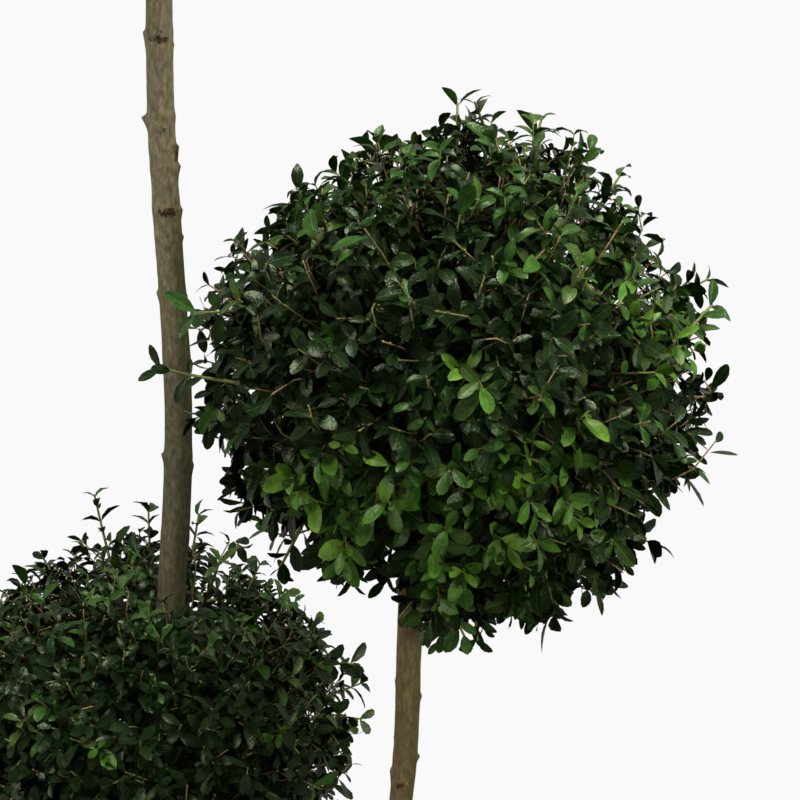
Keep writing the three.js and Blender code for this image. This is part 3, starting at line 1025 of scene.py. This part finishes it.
def shoot_ends(ball, random):
    """Where the leafy shoots end at the clipped surface, and the way that each points there."""
    directions = even_directions(LEAFY_SHOOTS) + random.normal(0, SHOOT_SCATTER, (LEAFY_SHOOTS, 3))
    directions = unit(directions)
    thinned = spots_round(directions, THIN_SPOTS[ball["name"]])
    thinned += GAP_SHARE * np.clip(gaps_between_sprays(ball, directions), 0, 1)
    directions = directions[random.random(LEAFY_SHOOTS) > thinned]
    count, height = len(directions), directions[:, 2]
    reach = ball["radius"] * (1 + swell(ball, directions)) - CLIP_DEPTH
    least, most = (CLIP_JITTER * limit for limit in CLIP_JITTER_LIMITS)
    reach += random.normal(0, CLIP_JITTER, count).clip(least, most)
    missed = random.random(count) < MISSED_CHANCE + MISSED_CHANCE_ON_TOP * np.clip(height, 0, 1)
    reach[missed] += random.uniform(*MISSED_LENGTH, missed.sum())
    upward = UPWARD_GROWTH * np.clip(0.65 + 0.5 * height[:, None], 0.15, 1)
    pointing = unit(directions + UP * upward + random.normal(0, SHOOT_LEAN, directions.shape))
    return np.array(ball["centre"], float) + directions * reach[:, None], pointing


def near_patch(directions, x, z, wide, high):
    """How near each direction is to a patch of the ball's front, from 1 in its middle to 0."""
    away = ((directions[:, 0] - x) / wide) ** 2 + ((directions[:, 2] - z) / high) ** 2
    return np.exp(-away) * (directions[:, 1] < 0)


def patches_over(directions, patches):
    """How strongly patches of the near ball's front cover each direction."""
    return sum(near_patch(directions, *place) * strength for *place, strength in patches)


def spray_tints(ball, directions, is_sprig, random):
    """One leaf tint for each spray: mostly deep greens, paler at the top partly as painted light, with young
    sprays low in front of the near ball made stronger as painted light, and painted shade on its left and
    middle.
    """
    upper = smoothstep(directions[:, 2], 0.1, 0.7)
    chances = {name: np.full(len(directions), chance) for name, chance in TINT_CHANCES.items()}
    # Partly painted light: paler tints at the top
    chances["leaf_deep"] *= 1 - TOP_DEEP_LOSS_AND_PAINTED_LIGHT * upper
    for name, amount in TOP_TINTS_AND_PAINTED_LIGHT.items():
        chances[name] += amount * upper
    if ball["name"] == "lower_ball":
        chances["leaf_deep"] += LOWER_BALL_DEEP
    if ball["name"] == "middle_ball":
        # Young sprays, partly painted light on the lit front and right
        for name, amount in YOUNG_AND_PAINTED_LIGHT_TINTS.items():
            chances[name] += amount * patches_over(directions, YOUNG_AND_PAINTED_LIGHT_PATCHES)
        # Painted shade: deep tints on the near ball's left and middle
        chances["leaf_deep"] += patches_over(directions, SHADED_PATCHES)
    chances["leaf_green"][is_sprig] += SPRIG_GREEN_CHANCE
    totals = np.cumsum(np.stack(list(chances.values()), axis=1), axis=1)
    drawn = random.random(len(directions)) * totals[:, -1]
    return (totals < drawn[:, None]).sum(axis=1)


def leaf_template(rows, with_rib):
    """A blade of unit size: points (along, across if pointed, across if blunt), faces, and which are rib."""
    columns = [-1, 1] if with_rib else [0]
    points = [(0, 0, 0)]
    for x, pointed, blunt in rows:
        inner = [(x, side * RIB_HALF_WIDTH, side * RIB_HALF_WIDTH) for side in columns]
        points += [(x, -pointed, -blunt), *inner, (x, pointed, blunt)]
    points.append((1, 0, 0))
    wide, tip = len(columns) + 2, len(points) - 1
    faces = [(0, 1 + k, 2 + k) for k in range(wide - 1)]
    rib = [k == 1 and with_rib for k in range(wide - 1)]
    for row in range(len(rows) - 1):
        for k in range(wide - 1):
            low, high = 1 + row * wide + k, 1 + (row + 1) * wide + k
            faces += [(low, high, high + 1), (low, high + 1, low + 1)]
            rib += [k == 1 and with_rib] * 2
    last = tip - wide
    faces += [(last + k, tip, last + k + 1) for k in range(wide - 1)]
    rib += [k == 1 and with_rib for k in range(wide - 1)]
    return np.array(points), np.array(faces), np.array(rib)


def leaf_arrays(template, leaves):
    """All leaves of a set as one mesh: each has a root, a direction, a face, a size and a shape."""
    (flat, faces, rib), count = template, len(leaves["root"])
    forward = unit(leaves["direction"])
    side = unit(np.cross(leaves["face"], forward))
    over = np.cross(forward, side)
    length, width = leaves["length"][:, None], leaves["width"][:, None]
    share = flat[None, :, 0]
    turn = leaves["curl"][:, None] * share
    along = length * share * (1 - turn**2 / 6)
    across = lerp(flat[None, :, 1], flat[None, :, 2], leaves["blunt"][:, None]) * width
    lift = np.abs(across) * leaves["fold"][:, None] - length * share * turn / 2
    vertices = leaves["root"][:, None] + along[..., None] * forward[:, None]
    vertices = vertices + across[..., None] * side[:, None] + lift[..., None] * over[:, None]
    all_faces = faces[None] + (np.arange(count) * len(flat))[:, None, None]
    rib_tint = np.minimum(leaves["tint"] + RIB_PALER, len(LEAF_TINTS) - 1)
    tints = np.where(rib[None], rib_tint[:, None], leaves["tint"][:, None])
    return vertices.reshape(-1, 3), all_faces.reshape(-1, 3), tints.ravel()


def leaf_way(axis, side, number, height, upper, random):
    """Which way the leaves of one node point: further from the shoot down along it, drooping low down."""
    count = len(height)
    spread = lerp(*LEAF_SPREAD, upper) + lerp(*LEAF_SPREAD_PER_NODE, upper) * number
    spread = np.radians(spread + random.normal(0, LEAF_SPREAD_JITTER, count))
    way = axis * np.cos(spread)[:, None] + side * np.sin(spread)[:, None]
    lift = UP * (LEAF_LIFT * height - LEAF_DROOP)[:, None]
    return unit(way + lift + random.normal(0, LEAF_WAY_JITTER, way.shape))


def leaf_face(axis, directions, is_loose, upper, random):
    """Which way the upper sides of the leaves of one node face."""
    face = axis * lerp(*LEAF_FACES_AHEAD, upper)[:, None] + UP * LEAF_FACES_UP
    face = face + directions * lerp(*LEAF_FACES_OUT, upper)[:, None]
    face = face + random.normal(0, LEAF_FACE_JITTER, axis.shape)
    return face + LOOSE_LEAF_FACES_FRONT * is_loose[:, None] * FRONT


def leaf_size(number, is_sprig, upper, random):
    size = random.lognormal(0, LEAF_SIZE_SPREAD, len(upper)).clip(*LEAF_SIZE_LIMITS) * LEAF_LENGTH
    if number == 0:
        size = size * np.where(is_sprig, SPRIG_TIP_LEAF, SHOOT_TIP_LEAF)
    return size * lerp(*LEAF_GROWTH, upper)


def leaf_shape(size, upper, random):
    """Width, fold along the rib, curl and bluntness: plumper and blunter low down, curled at the top."""
    count = len(size)
    return {
        "length": size,
        "width": size * LEAF_WIDTH_SHARE * lerp(*LEAF_SLIMNESS, upper) * random.uniform(0.85, 1.15, count),
        "fold": lerp(*LEAF_FOLD, upper) + random.uniform(-0.12, 0.18, count),
        "curl": lerp(*LEAF_CURL, upper) + random.normal(0, LEAF_SHAPE_JITTER, count),
        "blunt": np.clip(lerp(*LEAF_BLUNTNESS, upper) + random.normal(0, LEAF_SHAPE_JITTER, count), 0, 1),
    }


def shoot_nodes(shoots, shares):
    """One node on each shoot: its place, the shoot's way there and two directions square to it."""
    node = bezier(*shoots, shares[:, None])[:, 0]
    ahead = bezier(*shoots, np.minimum(shares + 0.05, 1.03)[:, None])[:, 0]
    across, over = square_frames(np.stack([node, ahead], axis=1))
    return node, unit(ahead - node), across[:, 0], over[:, 0]


def leaves_on(shoots, directions, tints, is_sprig, is_loose, random):
    """Opposite pairs at the nodes of each shoot, each pair turned a quarter round from the last."""
    count, height = len(directions), directions[:, 2]
    length = straight_lengths(shoots[0], shoots[2])[:, 0]
    turn = np.where(is_loose, math.pi / 2, random.uniform(0, math.pi, count))
    bare_tip = (random.random(count) < BARE_TIP_CHANCE) & ~is_sprig
    spacing = np.where(is_sprig, SPRIG_NODE_SPREAD, 1)
    upper = smoothstep(height, 0.0, 0.8)
    sets = []
    for number, distance in enumerate(LEAF_NODES_FROM_TIP):
        outer = number < OUTER_NODES
        share = 1 - distance * spacing * random.uniform(0.85, 1.15, count) / length
        node, axis, across, over = shoot_nodes(shoots, share)
        for half in (0, math.pi):
            angle = turn + number * math.pi / 2 + half
            side = across * np.cos(angle)[:, None] + over * np.sin(angle)[:, None]
            way = leaf_way(axis, side, number, height, upper, random)
            face = leaf_face(axis, directions, is_loose, upper, random)
            size = leaf_size(number, is_sprig, upper, random)
            kept = (random.random(count) < LEAF_CHANCE[number]) | (is_sprig & outer) | is_loose
            shape = leaf_shape(size, upper, random)
            darker = (number > 1) + (number > 3) + (random.random(count) < DARKER_LEAF_CHANCE)
            leaf = {
                "root": node + side * 0.6,
                "direction": way,
                "face": face,
                "tint": np.maximum(tints - darker, 0),
                "outer": np.full(count, outer),
                **shape,
            }
            sets.append(pick(leaf, kept & (share > 0.02) & ~(bare_tip & outer)))
    return {key: np.concatenate([one[key] for one in sets]) for key in sets[0]}


def bud_shapes(places, heading, size):
    """Small pointed buds of eight faces, twice as long as wide."""
    across, over = square_frames(np.stack([places, places + heading], axis=1))
    corners = np.arange(4) * math.pi / 2
    ring = [places + (across[:, 0] * np.cos(a) + over[:, 0] * np.sin(a)) * size for a in corners]
    points = np.stack([places - heading * size, *ring, places + heading * size * 2.4], axis=1)
    faces = [(0, 2, 1), (0, 3, 2), (0, 4, 3), (0, 1, 4), (5, 1, 2), (5, 2, 3), (5, 3, 4), (5, 4, 1)]
    all_faces = np.array(faces)[None] + (np.arange(len(places)) * 6)[:, None, None]
    return points.reshape(-1, 3), all_faces.reshape(-1, 3)


def bud_arrays(shoots, random):
    """Small yellowish buds at the tip and at the outermost node of some shoots."""
    shoots = some_limbs(shoots, random.random(len(shoots[0])) < BUD_CHANCE)
    distances = np.array(LEAF_NODES_FROM_TIP[:OUTER_NODES])
    shares = np.clip(1 - distances / straight_lengths(shoots[0], shoots[2]), 0, 1)
    places = bezier(*shoots, shares).reshape(-1, 3)
    ahead = bezier(*shoots, shares + 0.04).reshape(-1, 3)
    heading = unit(ahead - places + random.normal(0, 0.3, places.shape))
    vertices, faces = bud_shapes(places, heading, random.uniform(0.6, 1.0, (len(places), 1)))
    return vertices, faces, np.full(len(faces), BUD_SKIN)


def pick(leaves, chosen):
    return {key: values[chosen] for key, values in leaves.items()}


def limb_tubes(curves, barks, radii, sides, steps, slim=1, old_steps=0):
    """Tubes along many curves, with one bark or one each: slim thins them, and old steps are brown."""
    count = len(curves[0])
    barks = np.broadcast_to(barks, count)
    shares = np.tile(np.linspace(0, 1, steps + 1), (count, 1))
    thickness = lerp(*(slim * radius for radius in radii), shares)
    vertices, faces = tubes(bezier(*curves, shares), thickness, sides)
    walls = np.repeat(np.where(np.arange(steps) < old_steps, OLD_BARK, barks[:, None]), sides)
    return vertices, faces, np.concatenate([walls, walls, np.repeat(barks, sides)])


def together(*curve_sets):
    return tuple(np.concatenate(points) for points in zip(*curve_sets))


def some_limbs(limbs, chosen):
    return tuple(points[chosen] for points in limbs)


def fine_twigs(ball, boughs, random):
    """Twigs that fill the inside of a ball from its boughs."""
    centre = np.array(ball["centre"], float)
    scatter = random.normal(0, FINE_TWIG_SCATTER, (FINE_TWIGS, 3))
    directions = unit(even_directions(FINE_TWIGS) + scatter)
    ends = centre + directions * ball["radius"] * FINE_TWIG_SHARE
    bend = unit(directions + UP * FINE_TWIG_LIFT)
    return branch_from(boughs, ends, centre, FINE_TWIG_ORIGINS, random, bend)


def ball_limbs(ball, spine, low, high, stems, random):
    """A ball's limbs by kind, each kind as the starts, middles and ends of its curves."""
    centre, sprig_count = np.array(ball["centre"], float), len(SPRIGS[ball["name"]])
    boughs, twigs = limbs_of(ball, spine, low, high)
    fine = fine_twigs(ball, boughs, random)
    shoots = led_round_stems(fine, *shoot_ends(ball, random), centre, stems, random)
    fine = some_limbs(fine, clear_path(fine, stems, FINE_TWIG_ROOM))
    twigs = some_limbs(twigs, clear_path(twigs, stems))
    sprigs = some_limbs(twigs, slice(-sprig_count, None))
    return {
        "boughs": boughs,
        "fine": fine,
        "twigs": some_limbs(twigs, slice(-sprig_count)),
        "shoots": together(shoots, side_shoots(sprigs, random)),
        "sprigs": sprigs,
        "loose": gentle_curves(np.array(LOOSE_SHOOTS[ball["name"]]) + centre),
    }


def twig_arrays(limbs, leafy, random):
    """All of a ball's limbs as tubes, and the buds on the leafy ones."""
    shoot_barks = random.choice([GREEN_BARK, TAN_BARK], len(limbs["shoots"][0]), p=[0.5, 0.5])
    sprigs = together(limbs["sprigs"], limbs["loose"])
    slim = smoothstep(straight_lengths(sprigs[0], sprigs[2]), *SPRIG_SLIM_LENGTHS)
    return joined([
        limb_tubes(limbs["boughs"], OLD_BARK, **BOUGH_TUBE),
        limb_tubes(limbs["fine"], OLD_BARK, **FINE_TWIG_TUBE),
        limb_tubes(limbs["twigs"], GREEN_BARK, **TWIG_TUBE),
        limb_tubes(sprigs, SPRIG_BARK, **SPRIG_TUBE, slim=slim),
        limb_tubes(limbs["shoots"], shoot_barks, **SHOOT_TUBE, old_steps=OLD_SHOOT_STEPS),
        bud_arrays(leafy, random),
    ])


def leaf_pieces(ball, leaves, materials):
    """The outer and the inner leaves as a piece each; the near ball's outer leaves have a rib."""
    name, near = ball["name"], ball["name"] == "middle_ball"
    outer_blade = leaf_template(LEAF_ROWS_FINE if near else LEAF_ROWS_PLAIN, with_rib=near)
    inner_blade = leaf_template(LEAF_ROWS_PLAIN, with_rib=False)
    outer = leaves["outer"]
    pieces = []
    for kind, chosen, blade in (("outer", outer, outer_blade), ("inner", ~outer, inner_blade)):
        vertices, faces, tints = leaf_arrays(blade, pick(leaves, chosen))
        pieces.append(make_mesh(f"{name}_{kind}_leaves", vertices, faces, materials, tints))
    return pieces


def grow_ball(ball, spine, low, high, stems, materials):
    """One ball of foliage: boughs, twigs, fine twigs, leafy shoots and their leaves."""
    random = np.random.default_rng(ball["seed"] + LEAF_SEED)
    name = ball["name"]
    limbs = ball_limbs(ball, spine, low, high, stems, random)
    leafy = together(*(limbs[kind] for kind in ("twigs", "shoots", "sprigs", "loose")))
    from_end = len(leafy[0]) - np.arange(len(leafy[0]))
    is_loose = from_end <= len(limbs["loose"][0])
    is_sprig = from_end <= len(limbs["loose"][0]) + len(limbs["sprigs"][0])
    vertices, faces, barks = twig_arrays(limbs, leafy, random)
    twigs = make_mesh(name + "_twigs", vertices, faces, materials["twigs"], barks)

    directions = unit(leafy[2] - np.array(ball["centre"], float))
    tints = spray_tints(ball, directions, is_sprig, random)
    leaves = leaves_on(leafy, directions, tints, is_sprig, is_loose, random)
    tips = leaves["root"] + leaves["direction"] * leaves["length"][:, None]
    middles = (leaves["root"] + tips) / 2
    clear = clear_of_stems(tips, stems, LEAF_TIP_ROOM) & clear_of_stems(middles, stems, LEAF_MIDDLE_ROOM)
    leaves = pick(leaves, clear)
    for piece in (twigs, *leaf_pieces(ball, leaves, materials["leaves"])):
        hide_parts(name)


# Pot and compost


def turned_piece(name, profile, material, segments):
    """A round piece spun from an axis-to-axis profile of (radius, height) points in millimetres."""
    mesh = bmesh.new()
    points = [mesh.verts.new((radius * MM, 0, height * MM)) for radius, height in profile]
    edges = [mesh.edges.new(pair) for pair in zip(points, points[1:])]
    turn = {"axis": (0, 0, 1), "cent": (0, 0, 0), "angle": 2 * math.pi, "steps": segments}
    bmesh.ops.spin(mesh, geom=points + edges, use_merge=True, **turn)
    bmesh.ops.remove_doubles(mesh, verts=mesh.verts, dist=1e-6)
    bmesh.ops.recalc_face_normals(mesh, faces=mesh.faces)
    for face in mesh.faces:
        face.smooth = True
    return add_piece(name, finished_data(mesh, name, material))


def wall_radius(height):
    return lerp(POT_BASE_RADIUS, POT_RIM_RADIUS - RIM_LIP, height / POT_HEIGHT)


def arc(radius, height, bend, start, end, count):
    """Points of a rounded edge in a profile, round its own middle, from one angle to another."""
    angles = np.linspace(start, end, count)
    return [(radius + bend * math.cos(angle), height + bend * math.sin(angle)) for angle in angles]


def pot_profile():
    """From the middle of the underside out, up the wall, over the rolled rim and back down inside."""
    band_foot = POT_HEIGHT - RIM_BAND
    corner = arc(POT_BASE_RADIUS - CORNER_BEND, CORNER_BEND, CORNER_BEND, -1.57, -0.17, 7)
    band = arc(POT_RIM_RADIUS - BAND_BEND, band_foot + BAND_BEND, BAND_BEND, -1.37, -0.07, 5)
    lip = arc(POT_RIM_RADIUS - LIP_BEND, POT_HEIGHT - LIP_BEND, LIP_BEND, 0, 1.57, 7)
    inner = wall_radius(POT_HEIGHT) - POT_WALL
    return [
        (0, 0),
        (POT_BASE_RADIUS - 40, 0),
        *corner,
        (wall_radius(60), 60),
        (wall_radius(150), 150),
        (wall_radius(band_foot - 1.5), band_foot - 1.5),
        (wall_radius(band_foot) + 0.8, band_foot),
        *band,
        *lip,
        (inner + INNER_EDGE_BEND, POT_HEIGHT),
        (inner, POT_HEIGHT - INNER_EDGE_BEND),
        (wall_radius(200) - POT_WALL, 200),
        (wall_radius(40) - POT_WALL, 40),
    ]


def make_pot():
    plastic = speckled_material("pot_plastic", POT_DARK, POT_PALE, scale=26, roughness=0.55, bump=0.0002)
    pot = turned_piece("pot_shell", pot_profile(), plastic, POT_SEGMENTS)
    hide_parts("pot")


def compost_height(x, y):
    """The compost's lumpy surface, level round the stem's foot."""
    radius = np.hypot(x, y)
    crown = COMPOST_CROWN * (1 - smoothstep(radius, 40, wall_radius(COMPOST_TOP)))
    lumps = 1.6 * np.sin(x / 9 + 2 * np.sin(y / 13)) * np.cos(y / 11 + np.sin(x / 17))
    lumps += 0.9 * np.sin(x / 3.7 + y / 5.1) * np.cos(y / 4.3 - x / 6.1)
    return COMPOST_TOP + crown - 1 + lumps * smoothstep(radius, 15, 50)


def make_compost():
    """A lumpy disc of compost that goes down inside the pot, and bark chips and crumbs lying on it."""
    colours = COMPOST_DARK, COMPOST_PALE
    soil = speckled_material("compost_soil", *colours, scale=230, roughness=0.95, bump=0.002)
    edge = wall_radius(COMPOST_TOP) - POT_WALL - COMPOST_GAP
    surface = [(radius, 0) for radius in np.linspace(0, edge, COMPOST_RINGS + 1)]
    profile = [*surface, (0.985 * edge, -COMPOST_DEPTH), (0, -COMPOST_DEPTH)]
    compost = turned_piece("compost_surface", profile, soil, COMPOST_SEGMENTS)
    for vertex in compost.data.vertices:
        x, y, z = vertex.co / MM
        vertex.co.z = (compost_height(x, y) + z) * MM
    for piece in (compost, make_chips(edge)):
        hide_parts("compost")


def make_chips(edge):
    """Bark chips and crumbs: small uneven blocks of random size, half sunk in the compost."""
    random = np.random.default_rng(CHIP_SEED)
    mesh = bmesh.new()
    for _ in range(CHIPS):
        radius = 0.975 * edge * math.sqrt(random.random())
        angle = random.uniform(0, 2 * math.pi)
        x, y = radius * math.cos(angle), radius * math.sin(angle)
        if math.hypot(x - FOOT[0], y - FOOT[1]) < CHIP_FREE_RADIUS:
            continue
        place = Vector((x, y, compost_height(x, y) + 0.8)) * MM
        tilt = random.normal(0, CHIP_TILT)
        turn = Euler((*tilt, random.uniform(0, 2 * math.pi)))
        size = Matrix.Diagonal((*random.uniform(CHIP_SMALLEST, CHIP_LARGEST) * MM, 1))
        matrix = Matrix.Translation(place) @ turn.to_matrix().to_4x4() @ size
        for corner in bmesh.ops.create_cube(mesh, size=1, matrix=matrix)["verts"]:
            corner.co = place.lerp(corner.co, random.uniform(*CHIP_CORNERS))
    bark = speckled_material("bark_chips", CHIP_DARK, CHIP_PALE, scale=60, roughness=0.9, bump=0.001)
    return add_piece("compost_chips", finished_data(mesh, "compost_chips", bark))


# Studio


def blend_shaders(tree, factor, first, second, output):
    """Two shaders mixed by a factor socket and led to the output."""
    blend = tree.nodes.new("ShaderNodeMixShader")
    tree.links.new(factor, blend.inputs["Fac"])
    tree.links.new(first, blend.inputs[1])
    tree.links.new(second, blend.inputs[2])
    tree.links.new(blend.outputs["Shader"], tree.nodes[output].inputs["Surface"])


def floor_material():
    """Pale matt grey near the pot that fades into the background's own white, so that no horizon shows."""
    material, tree, shader = new_material("floor_white", roughness=0.9, specular=0.1)
    shader.inputs["Base Color"].default_value = (*FLOOR_PALE, 1)
    distance = tree.nodes.new("ShaderNodeVectorMath")
    distance.operation = "LENGTH"
    tree.links.new(object_place(tree), distance.inputs[0])
    glow = tree.nodes.new("ShaderNodeEmission")
    glow.inputs["Color"].default_value = (*BACKGROUND, 1)
    fade = range_node(tree, distance.outputs["Value"], *FLOOR_FADE)
    blend_shaders(tree, fade, shader.outputs["BSDF"], glow.outputs["Emission"], "Material Output")
    return material


def make_floor():
    mesh = bmesh.new()
    bmesh.ops.create_circle(mesh, cap_ends=True, radius=FLOOR_RADIUS, segments=96)
    floor = add_object("floor", finished_data(mesh, "floor", floor_material()))
    floor.visible_diffuse = False
    floor.visible_glossy = False


def add_area_light(name, place, aim, size, power):
    light = bpy.data.lights.new(name, "AREA")
    light.shape = "DISK"
    light.size = size
    light.energy = power
    lamp = add_object(name, light)
    lamp.location = place
    lamp.rotation_euler = (Vector(aim) - Vector(place)).to_track_quat("-Z", "Y").to_euler()


def make_world():
    """A white backdrop for the camera, with light that comes mostly from above for everything else."""
    world = bpy.data.worlds.new("studio_white")
    world.use_nodes = True
    tree = world.node_tree
    backdrop = tree.nodes["Background"]
    backdrop.inputs["Color"].default_value = (*BACKGROUND, 1)
    place = tree.nodes.new("ShaderNodeTexCoord")
    height = range_node(tree, height_node(tree, place.outputs["Generated"]), -1, 1)
    lit = tree.nodes.new("ShaderNodeBackground")
    tree.links.new(ramp_node(tree, height, SKY_STOPS), lit.inputs["Color"])
    seen = tree.nodes.new("ShaderNodeLightPath").outputs["Is Camera Ray"]
    blend_shaders(tree, seen, lit.outputs["Background"], backdrop.outputs["Background"], "World Output")
    bpy.context.scene.world = world


def make_studio():
    bpy.context.scene.view_settings.view_transform = "Standard"
    make_world()
    for name, settings in STUDIO_LIGHTS.items():
        add_area_light(name, **settings)
    make_floor()


def make_camera():
    camera = bpy.data.cameras.new("photo_camera")
    camera.lens = CAMERA_LENS
    camera.sensor_width = CAMERA_SENSOR
    view = add_object("photo_camera", camera)
    view.location = CAMERA_PLACE
    view.rotation_euler = (math.pi / 2, 0, 0)
    bpy.context.scene.camera = view


def make_plant():
    barks = [bark_material(name, crack, ridge, ridge, grain=2) for name, (crack, ridge) in TWIG_BARKS.items()]
    leaves = [leaf_material(name, colour) for name, colour in LEAF_TINTS.items()]
    materials = {"twigs": barks, "leaves": leaves}
    main_stem = Limb(MAIN_STEM_WAY, MAIN_STEM_RADIUS)
    side_stem = Limb(SIDE_STEM_WAY, SIDE_STEM_RADIUS)
    lower, middle, top = BALLS

    def inside(ball, share):
        """A height within a ball, from -1 at its underside to 1 at its top."""
        return ball["centre"][2] + ball["radius"] * share

    main_end = main_stem.share_at_height(inside(top, STEM_END))
    side_end = side_stem.share_at_height(inside(middle, STEM_END))
    stem_piece("main_stem", main_stem, main_end, MAIN_STEM_KNOTS, seed=3)
    stem_piece("side_stem", side_stem, side_end, SIDE_STEM_KNOTS, seed=4)
    stems = [(main_stem, main_end), (side_stem, side_end)]
    for ball, spine in ((lower, main_stem), (middle, side_stem), (top, main_stem)):
        low, high = (inside(ball, share) for share in BOUGH_FOOT_RANGE)
        grow_ball(ball, spine, low, high, stems, materials)


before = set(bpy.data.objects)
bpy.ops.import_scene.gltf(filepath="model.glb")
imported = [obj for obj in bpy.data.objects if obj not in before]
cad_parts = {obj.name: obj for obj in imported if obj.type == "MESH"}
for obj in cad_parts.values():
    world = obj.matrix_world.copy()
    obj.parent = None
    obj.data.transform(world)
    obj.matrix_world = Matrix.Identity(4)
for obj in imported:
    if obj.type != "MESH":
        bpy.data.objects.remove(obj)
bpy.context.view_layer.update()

make_camera()
make_studio()
make_pot()
make_compost()
make_plant()
